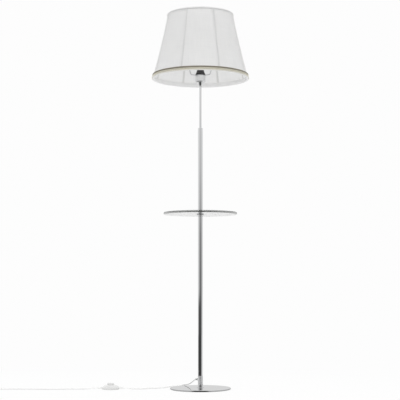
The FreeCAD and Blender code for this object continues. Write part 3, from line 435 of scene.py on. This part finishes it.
def twisted_yarn(name, colour, groove_shade):
    """Silky yarn with fine fibres; painted shade darkens the grooves between its plies and a
    painted highlight lightens their crowns.
    """
    r = Recipe(name)
    ply = r.add("Attribute", attribute_name="ply").outputs["Fac"]
    fibres = r.noise(r.coords((700, 700, 2600)), 1.0, 3.0, 0.6)
    # painted shade in the grooves between plies and a painted highlight on their crowns, set by
    # the ply attribute
    tone = r.mix(r.span(ply, 0.0, 1.0, 0.1, 0.75, True), rgba(colour, groove_shade), rgba(colour, 1.12))
    tone = r.mix(r.span(fibres, 0.0, 0.35, 0.35, 0.7), tone, rgba(colour, 0.7))
    return r.done(r.principled(Base_Color=tone, Roughness=0.55, Sheen_Weight=0.35,
                               Sheen_Roughness=0.35, Normal=r.bump(fibres, 0.0001, 0.5)))


# ------------------------------------------------------------------ stage
FLOOR_RADIUS = 45.0             # the room and its lights are in metres
WALL_RADIUS = 5.0
WALL_HEIGHT = 3.2
WALL_GAP = 0.002                # between the floor and the wall
# painted reflection: how dark the wall round the stage is at each height, as bright metal shows it
WALL_REFLECTION_DARKNESS = ((0.0, 1.0), (0.3, 0.97), (0.55, 0.93), (0.87, 0.83), (1.1, 0.64), (1.43, 0.46),
                 (1.66, 0.39), (2.2, 0.22), (3.1, 0.0))     # heights and shares
# painted reflection: the dark that bright metal shows towards the front, and where it begins and
# is full
PAINTED_REFLECTION_DARK = 0.05                # the dark front of the room, as bright metal mirrors it
PAINTED_DARK_FRONT = (0.108, 0.91)      # cosines at which that dark begins and is full
SHADOW_MIDDLE = -0.4            # along X, of the oval in which the floor takes a shadow
SHADOW_REACH = (1.7, 1.1)
SOFT_BOX_SIZE = 1.9
SOFT_BOX_PLACE = (0.6, -3.4, 2.0)       # of the right one; the left one mirrors it
SOFT_BOX_AIM = (0.0, 0.0, 0.95)
CAMERA_SIDE = -0.0017           # the camera's small offset to the left
SENSOR_WIDTH = 36.0             # in millimetres
VIEW_REACH = 200.0


def heading(r, x, y, towards):
    """Cosine of the angle in plan between a direction and the front, where the painted reflection
    is dark.
    towards turns that front from the camera's side to the left, in degrees."""
    angle = math.radians(towards)
    along = r.maths("ADD", r.maths("MULTIPLY", x, -math.sin(angle)),
                    r.maths("MULTIPLY", y, -math.cos(angle)))
    return r.maths("DIVIDE", along, r.in_plan(x, y))


def floor_material(settings):
    """A pale floor: in the picture and through glass it is the background, and it keeps a soft
    shadow near the lamp. In bright metal it shows a painted reflection that darkens towards the
    front."""
    r = Recipe("pale_floor")
    path = r.add("LightPath")
    mottle = r.noise(r.coords(), 3.0, 2.0)
    lit = r.add("BsdfDiffuse", {"Color": r.mix(mottle, grey(0.86), grey(0.88))})

    # in the picture: plain background, with the lamp's soft shadow inside an oval
    glow = r.add("Emission", {"Color": grey(settings.background), "Strength": 1.0})
    x, y, _ = r.apart("Object")
    near_x = r.maths("DIVIDE", r.maths("SUBTRACT", x, SHADOW_MIDDLE), SHADOW_REACH[0])
    near_y = r.maths("DIVIDE", y, SHADOW_REACH[1])
    reach = r.maths("ADD", r.maths("MULTIPLY", near_x, near_x),
                    r.maths("MULTIPLY", near_y, near_y))
    share = r.span(reach, settings.floor_shadow, 0.0, 0.1, 1.0, True)
    seen = r.add("MixShader", {0: share, 1: glow.outputs[0], 2: lit.outputs[0]})

    # painted reflection, seen only in bright metal: pale at the sides and behind, with a painted
    #     # dark front that changes from right beside the lamp over the floor near it to the floor
    #     far off
    distance = r.in_plan(x, y)
    front = heading(r, x, y, 0)
    beside = r.span(front, 0.45, 1.0, 0.92, 0.98, True)
    near = r.span(heading(r, x, y, 28), 0.0, 0.99, -0.5, 0.62, True)
    far = r.span(front, *PAINTED_DARK_FRONT)
    dark = r.mix(r.span(distance, 0.0, 1.0, 0.3, 0.8, True), beside, near)
    dark = r.mix(r.span(distance, 0.0, 1.0, 3.0, 30.0, True), dark, far)
    side = r.mix(r.span(front, 0.0, 1.0, -1.0, 0.0), grey(0.90), grey(0.95))
    mirror = r.add("Emission", {"Color": r.mix(dark, side, grey(PAINTED_REFLECTION_DARK)), "Strength": 1.0})
    plain = r.add("MixShader", {0: path.outputs["Is Glossy Ray"], 1: lit.outputs[0],
                                2: mirror.outputs[0]})
    direct = r.maths("MAXIMUM", path.outputs["Is Camera Ray"],
                     path.outputs["Is Transmission Ray"])
    return r.done(r.add("MixShader", {0: direct, 1: plain.outputs[0], 2: seen.outputs[0]}))


def wall_material():
    """A painted reflection round the stage, seen only in bright metal: dark low down in front,
    pale behind and above.
    """
    r = Recipe("reflection_wall")
    x, y, z = r.apart("Object")
    fading = r.add("ValToRGB", {"Fac": r.maths("DIVIDE", z, WALL_HEIGHT)})
    ramp = fading.color_ramp
    ramp.elements[0].color = grey(WALL_REFLECTION_DARKNESS[0][1])
    ramp.elements[-1].color = grey(WALL_REFLECTION_DARKNESS[-1][1])
    for height, share in WALL_REFLECTION_DARKNESS[1:-1]:
        ramp.elements.new(height / WALL_HEIGHT).color = grey(share)
    wide = r.span(heading(r, x, y, -4), *PAINTED_DARK_FRONT)
    low = r.span(heading(r, x, y, 20), 0.0, 0.97, -0.5, 0.75, True)
    dark = r.mix(r.span(z, 0.0, 1.0, 0.22, 0.40, True), low, wide)
    dark = r.maths("MULTIPLY", dark, fading.outputs[0])
    side = r.mix(r.span(z, 0.0, 1.0, 0.2, 1.6), grey(0.91), grey(0.97))
    return r.done(r.add("Emission", {"Color": r.mix(dark, side, grey(PAINTED_REFLECTION_DARK)),
                                     "Strength": 1.0}))


def room(settings):
    """The world: soft light on the lamp from all round, more of it from behind, and white
    where the camera looks."""
    r = Recipe("studio", world=True)
    path = r.add("LightPath")
    _, back, up = r.apart("Generated")
    even = r.mix(r.span(back, 0.0, 1.0, -1.0, -0.2), grey(settings.sky_front),
                 grey(settings.sky_side))
    even = r.mix(r.span(back, 0.0, 1.0, 0.0, 0.9), even, grey(settings.sky_back))
    even = r.mix(r.span(up, 0.0, 1.0, 0.5, 0.8), even, grey(settings.sky_top))
    direct = r.maths("MAXIMUM", path.outputs["Is Camera Ray"], r.maths(
        "MAXIMUM", path.outputs["Is Transmission Ray"], path.outputs["Is Glossy Ray"]))
    light = r.mix(direct, even, grey(settings.background))
    bpy.context.scene.world = r.done(r.add("Background", {"Color": light, "Strength": 1.0}))


def stage_piece(name, bm, material):
    """A piece of the room, which is no part of the lamp."""
    piece = placed(name, mesh_of(name, bm, material))
    return piece


class LAMP_OT_make_stage(bpy.types.Operator):
    """Makes the floor, the room's light, two soft boxes and the camera"""
    bl_idname = "lamp.make_stage"
    bl_label = "Stage"

    def execute(self, context):
        settings = context.scene.floor_lamp.stage
        scene = context.scene
        scene.view_settings.view_transform = "Standard"
        room(settings)

        bm = bmesh.new()
        bmesh.ops.create_circle(bm, cap_ends=True, segments=64, radius=FLOOR_RADIUS)
        stage_piece("floor", bm, floor_material(settings))
        bm = bmesh.new()
        bmesh.ops.create_cone(bm, cap_ends=False, segments=96, radius1=WALL_RADIUS,
                              radius2=WALL_RADIUS, depth=WALL_HEIGHT)
        bmesh.ops.translate(bm, vec=(0, 0, WALL_HEIGHT / 2 + WALL_GAP), verts=bm.verts)
        # a wall seen only in reflections, which paints a dark room into bright metal
        wall = stage_piece("reflection_wall", bm, wall_material())
        wall.visible_camera = False
        wall.visible_diffuse = False
        wall.visible_transmission = False
        wall.visible_shadow = False

        for side in (-1, 1):
            light = bpy.data.lights.new("soft_box", "AREA")
            light.shape = "SQUARE"
            light.size = SOFT_BOX_SIZE
            light.energy = settings.key_power
            box = placed("soft_box", light)
            box.location = (side * SOFT_BOX_PLACE[0], *SOFT_BOX_PLACE[1:])
            aim = Vector(SOFT_BOX_AIM) - Vector(box.location)
            box.rotation_euler = aim.to_track_quat("-Z", "Y").to_euler()
            box.visible_glossy = False
            box.visible_camera = False

        camera = bpy.data.cameras.new("camera")
        camera.sensor_width = SENSOR_WIDTH
        camera.sensor_fit = "HORIZONTAL"
        camera.lens = settings.camera_lens
        camera.clip_end = VIEW_REACH
        viewer = placed("camera", camera)
        viewer.location = (CAMERA_SIDE, -settings.camera_distance, settings.camera_height)
        viewer.rotation_euler = (math.pi / 2 + settings.camera_tilt, 0, 0)
        scene.camera = viewer
        return {"FINISHED"}


# ------------------------------------------------------------------ cords, in millimetres
LAMP_ROUTE = [                  # from the collar down behind the base to the foot switch
    GROMMET_MOUTH, (-26.5, 18.6, 35.5), (-35, 37, 25.5), (-44.5, 62, 18.0), (-55, 86, 12.4),
    (-69, 107, 10.2), (-91, 120, 4.6), (-115, 117, ON_FLOOR), (-132, 99, ON_FLOOR),
    (-140, 75, ON_FLOOR), (-153, 54, ON_FLOOR), (-176, 44, ON_FLOOR), (-201, 36, ON_FLOOR),
    (-221, 17, ON_FLOOR), (-246, 3, ON_FLOOR), (-275, 0, ON_FLOOR + 0.7), (-297, 4, 6.5),
    (-309, 4, 6.5)]
FLOOR_ROUTE = [                 # from the foot switch to the coil
    (-417, 4, 6.5), (-431, 4, 6.5), (-457, 3, ON_FLOOR + 0.4), (-508, 4, ON_FLOOR),
    (-575, -6, ON_FLOOR), (-640, -7, ON_FLOOR), (-706, 1, ON_FLOOR), (-768, 2, ON_FLOOR),
    (-822, -4, ON_FLOOR), (-860.5, -4, ON_FLOOR)]
COIL_TURNS = 4.25
COIL_PITCH = 6.1                # between two turns of a layer
COIL_LAYER = 6.05               # between the two layers
COIL_LIFT = 1.15                # of the first turns over the floor
COIL_INNER = 32.0 - COIL_PITCH * COIL_TURNS / 4
COIL_POINTS = 12                # in each turn


def coil_points():
    """The put-away length: in on the lower layer, over in the half turn of the reversal, and
    out on the upper one."""
    total = TURN * COIL_TURNS
    count = round(COIL_TURNS * COIL_POINTS)
    quarter = math.pi / 2
    points = []
    for k in range(count + 1):
        angle = total * k / count
        past = angle - total / 2
        radius = COIL_INNER + COIL_PITCH / TURN * abs(past)
        climb = min(max((past + quarter) / (2 * quarter), 0.0), 1.0)
        lift = COIL_LIFT * min(angle / quarter, 1.0)
        a = quarter + angle
        points.append((COIL_MIDDLE[0] + radius * math.cos(a),
                       COIL_MIDDLE[1] + radius * math.sin(a),
                       ON_FLOOR + lift + COIL_LAYER * climb))
    x, y, z = points[-1]
    plug_x, plug_y, plug_z = PLUG_START
    return points + [(x - 0.8, y - 14, z - 1.4), (plug_x, plug_y + 5.5, plug_z), PLUG_START]


def cord_piece(name, route, diameter, material):
    """A cord as one smooth open spline through its listed points."""
    curve = bpy.data.curves.new(name, "CURVE")
    curve.dimensions = "3D"
    curve.bevel_depth = diameter / 2
    curve.bevel_resolution = 5
    curve.resolution_u = 10
    curve.use_fill_caps = True
    spline = curve.splines.new("NURBS")
    spline.points.add(len(route) - 1)
    for point, place in zip(spline.points, route):
        point.co = (place[0] * MM, place[1] * MM, place[2] * MM, 1.0)
    spline.order_u = 3
    spline.use_endpoint_u = True
    curve.materials.append(material)
    piece = placed(name, curve)
    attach(piece, "lamp")
    return piece


def relief_shape(length, thick, thin, collar, ridges):
    """A tapered strain relief with ridges, along +Z from its thick end at the origin. Small
    steps round the edges of its ridges and of its end."""
    points = [(0.0, 0.0), (thick, 0.0), (thick, collar)]
    step = (length - collar - 1.6) / ridges
    for k in range(ridges):
        z = collar + step * k
        rise = z + step * 0.42          # where the groove ends and the ridge rises
        r = thick + (thin - thick) * (z - collar) / (length - collar)
        groove = r - 0.75
        points += [(r - 0.25, z + 0.15), (groove, z + 0.45), (groove, rise),
                   (r - 0.3, rise + 0.3), (r - 0.08, rise + 0.6)]
    points += [(thin, length - 1.2), (thin - 0.3, length - 0.3), (thin - 0.6, length),
               (0.0, length)]
    return spun(points, 40)


class LAMP_OT_make_cords(bpy.types.Operator):
    """Lays the cord from the base to the foot switch and on to the coil and the plug"""
    bl_idname = "lamp.make_cords"
    bl_label = "Cord"

    def execute(self, context):
        settings = context.scene.floor_lamp.cord
        jacket = moulded_plastic("cord_jacket", settings.colour, 0.36, grain=500.0)
        first = cord_piece("mains_cord_to_switch", LAMP_ROUTE, settings.diameter, jacket)
        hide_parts("cord_lamp_side")
        second = cord_piece("mains_cord_to_plug", FLOOR_ROUTE + coil_points(),
                            settings.diameter, jacket)
        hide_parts("cord_plug_side", "cord_coil")

        both = []
        for side in (-1, 1):
            bm = relief_shape(SWITCH_RELIEF_LENGTH, thick=4.2, thin=3.4, collar=4.0, ridges=5)
            x, y, z = SWITCH_MIDDLE
            start = (x + side * (SWITCH_RELIEF_END - SWITCH_RELIEF_LENGTH), y, z)
            bmesh.ops.transform(bm, matrix=aimed(start, (side, 0, 0)), verts=bm.verts)
            both.append(bm)
        reliefs = finished("switch_strain_reliefs", joined(both), jacket)
        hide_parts("switch_boots")

        bm = relief_shape(PLUG_RELIEF_LENGTH, thick=5.0, thin=3.4, collar=3.0, ridges=6)
        start = (PLUG_START[0], PLUG_START[1] - PLUG_RELIEF_LENGTH, PLUG_START[2])
        bmesh.ops.transform(bm, matrix=aimed(start, (0, 1, 0)), verts=bm.verts)
        plug_relief = finished("plug_strain_relief", bm, jacket)
        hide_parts("plug_boot")

        return {"FINISHED"}


# ------------------------------------------------------------------ shade, in millimetres
COLUMNS = 26                    # of faces in one panel of the cloth
ROWS = 30
CROWDING = 0.8                  # how much closer the columns stand near the ribs
HOLLOW_FULLNESS = 0.75          # under 1, the hollow reaches further up and down
ROUND_STEPS = 192               # of the bindings and the tape
FOLD_WIDTH = 3.6                # half the bow of the cloth over a ring
FOLD_HEIGHT = FOLD_WIDTH * 0.62
FOLD_THICKNESS = 0.5
FOLD_STEPS = 10
SEAM_WIDTH, SEAM_DEPTH = 1.1, 0.45      # halves of the seam's oval
SEAM_SIDES = 10


def unwrapped(bm, radius, outwards=1.0):
    """A map in metres round the axis, at a radius, and upwards. The way outwards counts too,
    except on the plain cone."""
    layer = bm.loops.layers.uv.new("cloth")
    for face in bm.faces:
        middle = face.calc_center_median()
        turn = math.atan2(middle.y, middle.x)
        for loop in face.loops:
            place = loop.vert.co
            own = math.atan2(place.y, place.x)
            own += TURN * round((turn - own) / TURN)
            loop[layer].uv = (own * radius * MM,
                              place.z + outwards * math.hypot(place.x, place.y))
    return bm


def shade_cloth(settings, material):
    """The cover: a cone that draws in a little between its ribs and keeps a fold over each."""
    profile = []
    for k in range(ROWS + 1):
        z = SHADE_LOW + (SHADE_HIGH - SHADE_LOW) * k / ROWS
        profile.append((cloth_radius(z), z))
    bm = unwrapped(spun(profile, PANELS * COLUMNS),
                   (SHADE_LOW_RADIUS + SHADE_HIGH_RADIUS) / 2, outwards=0.0)
    panel = TURN / PANELS
    for vert in bm.verts:
        angle = (math.atan2(vert.co.y, vert.co.x) - RIB_FIRST) % TURN
        which, share = divmod(angle / panel + 1e-9, 1.0)
        share -= CROWDING * math.sin(TURN * share) / TURN
        height = (vert.co.z / MM - SHADE_LOW) / (SHADE_HIGH - SHADE_LOW)
        hollow = math.sin(math.pi * share)
        hollow *= max(math.sin(math.pi * height), 0.0) ** HOLLOW_FULLNESS
        radius = math.hypot(vert.co.x, vert.co.y) - settings.sag * hollow
        fresh = RIB_FIRST + (which + share) * panel
        vert.co.x, vert.co.y = radius * math.cos(fresh), radius * math.sin(fresh)
    piece = finished("shade_cloth", bm, material, 60)
    shell = piece.modifiers.new("cloth thickness", "SOLIDIFY")
    shell.thickness = settings.thickness
    shell.offset = -1.0
    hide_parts("shade_cover")
    return piece


def binding(name, material, ring_z, upper, outside, inside):
    """Cloth folded over a ring of the frame: outside and inside are the heights of its legs."""
    sign = 1 if upper else -1
    edge = SHADE_HIGH if upper else SHADE_LOW
    middle = cloth_radius(ring_z) - RING_DEPTH
    fold = edge + sign * 0.7 - sign * FOLD_HEIGHT

    def bow(width, height):
        angles = [math.pi * k / FOLD_STEPS for k in range(FOLD_STEPS + 1)]
        return [(middle + width * math.cos(a), fold + sign * height * math.sin(a))
                for a in angles]

    def on_cloth(reach, depth):
        z = fold - sign * reach
        return (cloth_radius(z) - depth, z)

    outer = [on_cloth(outside, -0.55), on_cloth(outside - 1.5, -0.65)]
    outer += bow(FOLD_WIDTH, FOLD_HEIGHT)
    outer += [(middle - FOLD_WIDTH + 0.3, fold - sign * 2.5), on_cloth(inside - 2.0, 2.4),
              on_cloth(inside, 1.4)]
    inner = [on_cloth(inside, 0.9), on_cloth(inside - 2.0, 1.8),
             (middle - FOLD_WIDTH + FOLD_THICKNESS + 0.3, fold - sign * 2.4)]
    inner += bow(FOLD_WIDTH - FOLD_THICKNESS, FOLD_HEIGHT - FOLD_THICKNESS)[::-1]
    inner += [on_cloth(outside, -0.1)]
    bm = unwrapped(spun(outer + inner, ROUND_STEPS, closed=True), SHADE_LOW_RADIUS)
    return finished(name, bm, material, 50)


def on_each_rib(name, make_strip, material):
    """One piece out of a strip along every rib, each made over +X and turned to its place."""
    strips = []
    for k in range(PANELS):
        bm = make_strip()
        bmesh.ops.rotate(bm, cent=(0, 0, 0), verts=bm.verts,
                         matrix=Matrix.Rotation(RIB_FIRST + TURN * k / PANELS, 3, "Z"))
        bmesh.ops.recalc_face_normals(bm, faces=bm.faces)
        strips.append(bm)
    bm = unwrapped(joined(strips), SHADE_LOW_RADIUS)
    return finished(name, bm, material, 60)


def folded_edge():
    """The cloth's folded edge, which lies behind it along a rib."""
    wide, thick, behind, short = 9.0, 0.3, 0.85, 6.0
    bm = bmesh.new()
    bmesh.ops.create_cube(bm, size=1.0)
    for vert in bm.verts:
        z = (SHADE_LOW + short) if vert.co.z < 0 else (SHADE_HIGH - short)
        depth = behind if vert.co.x > 0 else behind + thick
        vert.co = ((cloth_radius(z) - depth) * MM,
                   (math.copysign(wide / 2, vert.co.y) - 1.0) * MM, z * MM)
    return bm


def sewn_seam():
    """The seam that stands up a little along a rib."""
    low, high = SHADE_LOW + 3.0, SHADE_HIGH - 3.0
    start = Vector((cloth_radius(low) - 0.1, 0, low)) * MM
    end = Vector((cloth_radius(high) - 0.1, 0, high)) * MM
    bm = bmesh.new()
    bmesh.ops.create_circle(bm, cap_ends=False, segments=SEAM_SIDES, radius=1.0)
    bmesh.ops.scale(bm, vec=(SEAM_DEPTH * MM, SEAM_WIDTH * MM, 1.0), verts=bm.verts)
    made = bmesh.ops.extrude_edge_only(bm, edges=bm.edges[:])
    top = [v for v in made["geom"] if isinstance(v, bmesh.types.BMVert)]
    bmesh.ops.translate(bm, vec=start, verts=bm.verts)
    bmesh.ops.translate(bm, vec=end - start, verts=top)
    bmesh.ops.holes_fill(bm, edges=bm.edges, sides=SEAM_SIDES)
    return bm


def short_tube(ring, centre_z, radius, sides, angle, steps):
    """An open length of tube round Z, for one repeat of a cord or a strand."""
    bm = bmesh.new()
    upright = Matrix.Rotation(math.pi / 2, 4, "X")
    bmesh.ops.create_circle(bm, cap_ends=False, segments=sides, radius=radius * MM,
                            matrix=Matrix.Translation((ring * MM, 0, centre_z * MM)) @ upright)
    turned_by(bm, angle, steps)
    return bm


REPEAT_GROUP = 14               # repeats that are copied round together


def whole_repeats(length, pitch):
    """How often a pitch fits into a length, as a multiple of the group."""
    return REPEAT_GROUP * round(length / pitch / REPEAT_GROUP)


def closed_round(bm, repeats):
    """Copies one repeat into a group, the group all round, and joins the ends."""
    step = TURN / repeats
    turned_by(bm, step * (REPEAT_GROUP - 1), REPEAT_GROUP - 1, copies=True)
    groups = repeats // REPEAT_GROUP
    turned_by(bm, step * REPEAT_GROUP * (groups - 1), groups - 1, copies=True)
    bmesh.ops.remove_doubles(bm, verts=bm.verts, dist=2e-6)
    bmesh.ops.recalc_face_normals(bm, faces=bm.faces)
    return bm


def twisted_cord(name, material, height, proud, radius, pitch):
    """A cord of two twisted plies round the shade, at a height over its lower edge."""
    plies, sides, steps = 2, 9, 10
    centre_z = SHADE_LOW + height
    ring = cloth_radius(centre_z) + proud
    twists = whole_repeats(TURN * ring, pitch)
    bm = short_tube(ring, centre_z, radius, sides, TURN / twists, steps)
    ply = bm.verts.layers.float.new("ply")
    for vert in bm.verts:
        turn = math.atan2(vert.co.y, vert.co.x)
        out = math.hypot(vert.co.x, vert.co.y) - ring * MM
        up = vert.co.z - centre_z * MM
        wave = math.cos(plies * (math.atan2(up, out) - twists * turn))
        grow = 0.86 + 0.16 * wave       # fullest on a ply, thinnest in a groove
        # ply: 1 on a ply's crown, 0 in a groove; the yarn paints shade into the grooves and a
        # highlight onto the crowns from it
        vert[ply] = 0.5 + 0.5 * wave
        reach = ring * MM + out * grow
        vert.co = (reach * math.cos(turn), reach * math.sin(turn), centre_z * MM + up * grow)
    return finished(name, closed_round(bm, twists), material, 80)


def plaited_middle(name, material, height, proud, radius, swing, wave):
    """Three strands plaited round the shade; each swings up and down once in a wave."""
    count, sides, steps = 3, 7, 12
    centre_z = SHADE_LOW + height
    ring = cloth_radius(centre_z) + proud
    waves = whole_repeats(TURN * ring, wave)
    strands = []
    for strand in range(count):
        shift = TURN * strand / count
        bm = short_tube(ring, centre_z, radius, sides, TURN / waves, steps)
        ply = bm.verts.layers.float.new("ply")
        for vert in bm.verts:
            turn = math.atan2(vert.co.y, vert.co.x)
            phase = waves * turn + shift
            out = math.hypot(vert.co.x, vert.co.y) + 0.45 * radius * MM * math.sin(2 * phase)
            up = vert.co.z + swing * MM * math.sin(phase)
            # ply: high where a strand swells out, low where it sinks between the others; the yarn
            # paints shade and highlight from it
            vert[ply] = 0.5 + 0.5 * math.sin(2 * phase)
            vert.co = (out * math.cos(turn), out * math.sin(turn), up)
        strands.append(closed_round(bm, waves))
    return finished(name, joined(strands), material, 80)


class LAMP_OT_make_shade(bpy.types.Operator):
    """Makes the shade's cloth, its seams and bindings, and the braid round its lower edge"""
    bl_idname = "lamp.make_shade"
    bl_label = "Shade"

    def execute(self, context):
        settings = context.scene.floor_lamp.shade
        cloth = woven_cloth("shade_cloth", settings.cloth, settings.through)
        # the folds take the cloth's colour darkened to 0.9: painted shade that deepens the lines
        # along the ribs, shared by the seams, the seam allowances and the top binding
        folded = woven_cloth("lampshade_folds_painted_shade", [c * 0.9 for c in settings.cloth], through=0.15)
        bound = woven_cloth("shade_binding", [c * 0.87 for c in settings.cloth], through=0.0)
        cover = shade_cloth(settings, cloth)
        seams = on_each_rib("shade_seams", sewn_seam, folded)
        allowances = on_each_rib("shade_seam_allowances", folded_edge, folded)
        top = binding("shade_top_binding", folded, RING_HIGH, upper=True, outside=3.6,
                      inside=7.0)
        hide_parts("top_hem")
        bottom = binding("shade_bottom_binding", bound, RING_LOW, upper=False, outside=5.0,
                         inside=15.5)

        pale = twisted_yarn("braid_pale_yarn", settings.braid_pale, 0.62)
        beige = twisted_yarn("braid_beige_yarn", settings.braid_mid, 0.55)
        dark = twisted_yarn("braid_dark_yarn", settings.braid_dark, 0.45)
        low, high = SHADE_LOW + 0.4, SHADE_LOW + BRAID_HEIGHT
        tape = spun([(cloth_radius(low) + 0.05, low), (cloth_radius(low) + 0.75, low + 0.1),
                     (cloth_radius(high) + 0.75, high - 0.1), (cloth_radius(high) + 0.05, high)],
                    ROUND_STEPS, closed=True)
        tape = finished("braid_tape", unwrapped(tape, SHADE_LOW_RADIUS),
                        woven_cloth("braid_tape", settings.braid_pale, through=0.55,
                                    thread=0.0006),
                        50)
        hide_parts("braid_trim")
        rows = [
            twisted_cord("braid_cord_top", dark, height=15.5, proud=1.5, radius=1.4,
                         pitch=7.0),
            twisted_cord("braid_cord_second", dark, height=12.5, proud=1.5, radius=1.4,
                         pitch=7.0),
            plaited_middle("braid_plait", beige, height=8.2, proud=1.3, radius=0.85,
                           swing=1.35, wave=10.0),
            twisted_cord("braid_cord_third", beige, height=4.9, proud=1.3, radius=1.1,
                         pitch=6.0),
            twisted_cord("braid_cord_edge", pale, height=2.2, proud=1.4, radius=1.25,
                         pitch=6.5)]
        return {"FINISHED"}


# ------------------------------------------------------------------ rigid pieces of the frame
def finish_pieces(finishes):
    """Gives each finish to the pieces named after it."""
    for material, names in finishes:
        for name in names.split():
            NODES[name].material_slots[0].material = material


class LAMP_OT_finish_metal(bpy.types.Operator):
    """Gives the pole, base, cup and fasteners their chrome, satin and zinc finishes"""
    bl_idname = "lamp.finish_metal"
    bl_label = "Metal"

    def execute(self, context):
        settings = context.scene.floor_lamp.metal
        chrome = polished_metal("polished_chrome", settings.chrome)
        zinc = brushed_metal("zinc_plate", (0.62, 0.63, 0.64), 0.36)
        satin = brushed_metal("satin_nickel", settings.satin, 0.5)
        wire = moulded_plastic("frame_paint", (0.80, 0.80, 0.78), 0.34, grain=1500.0)
        brass = brushed_metal("contact_brass", (0.72, 0.55, 0.24), 0.30)
        tin = brushed_metal("bulb_cap_metal", (0.74, 0.74, 0.75), 0.34)
        nickel = polished_metal("pin_nickel", (0.70, 0.69, 0.66), (0.12, 0.24))
        finish_pieces((
            (chrome, "base_plate foot_ring lower_tube upper_tube tube_cap stem "
                     "table_lower_flange table_upper_flange neck_cone holder_cup"),
            (zinc, "base_washer base_nut base_nipple collar_nipple lower_tube_plugs "
                   "upper_tube_plugs table_nipple holder_lock_nut switch_screws "
                   "switch_spring fitter_ring spider_arms"),
            (satin, "cord_collar"),
            (wire, "shade_top_ring shade_bottom_ring shade_ribs"),
            (brass, "screw_shell centre_contact switch_contacts"),
            (tin, "bulb_cap"),
            (nickel, "plug_pins")))
        return {"FINISHED"}


class LAMP_OT_finish_plastic(bpy.types.Operator):
    """Gives the glass, the rubber and all plastic pieces their finishes"""
    bl_idname = "lamp.finish_plastic"
    bl_label = "Glass, rubber and plastic"

    def execute(self, context):
        settings = context.scene.floor_lamp
        black = moulded_plastic("holder_black", (0.022, 0.022, 0.023), 0.28)
        white = moulded_plastic("housing_white", settings.cord.housing, 0.26, coat=0.3)
        clear = clear_plastic("clear_seal", (0.90, 0.91, 0.90))
        strap = moulded_plastic("tie_strap", (0.72, 0.72, 0.71), 0.62, grain=1200.0)
        ceramic = moulded_plastic("holder_insulator", (0.80, 0.79, 0.74), 0.4)
        jacket = bpy.data.materials["cord_jacket"]
        finish_pieces((
            (black, "holder_cap holder_body shade_ring switch_mechanism"),
            (white, "switch_base switch_cover switch_button cord_clamps plug_body"),
            (clear, "table_lower_gasket table_upper_gasket table_bush cord_grommet"),
            (strap, "coil_tie"),
            (ceramic, "holder_insulator"),
            (jacket, "inner_cable switch_leads"),
            (pad_rubber(), "base_pad"),
            (opal_glass(), "bulb_glass"),
            (table_glass(settings.table), "table_top")))
        return {"FINISHED"}


class LAMP_PT_panel(bpy.types.Panel):
    """The lamp's pieces, in the order in which they are made"""
    bl_label = "Floor Lamp"
    bl_idname = "LAMP_PT_panel"
    bl_space_type = "VIEW_3D"
    bl_region_type = "UI"
    bl_category = "Floor Lamp"

    def draw(self, context):
        for step in STEPS:
            self.layout.operator(step.bl_idname, text=step.bl_label)
        settings = context.scene.floor_lamp
        for group in (settings.shade, settings.table, settings.metal, settings.cord,
                      settings.stage):
            column = self.layout.column()
            for name in group.__annotations__:
                column.prop(group, name)


STEPS = (LAMP_OT_make_stage, LAMP_OT_make_cords, LAMP_OT_make_shade, LAMP_OT_finish_metal,
         LAMP_OT_finish_plastic)
CLASSES = (LAMP_PG_stage, LAMP_PG_shade, LAMP_PG_table, LAMP_PG_metal, LAMP_PG_cord,
           LAMP_PG_settings, *STEPS, LAMP_PT_panel)


def register():
    """Makes the lamp's settings, operators and panel known."""
    for item in CLASSES:
        bpy.utils.register_class(item)
    bpy.types.Scene.floor_lamp = bpy.props.PointerProperty(type=LAMP_PG_settings)


def unregister():
    """Takes them away again."""
    del bpy.types.Scene.floor_lamp
    for item in reversed(CLASSES):
        bpy.utils.unregister_class(item)


def main():
    """Makes the whole lamp."""
    register()
    bpy.ops.lamp.make_stage()
    bpy.ops.lamp.make_cords()
    bpy.ops.lamp.make_shade()
    bpy.ops.lamp.finish_metal()
    bpy.ops.lamp.finish_plastic()


if __name__ == "__main__":
    main()
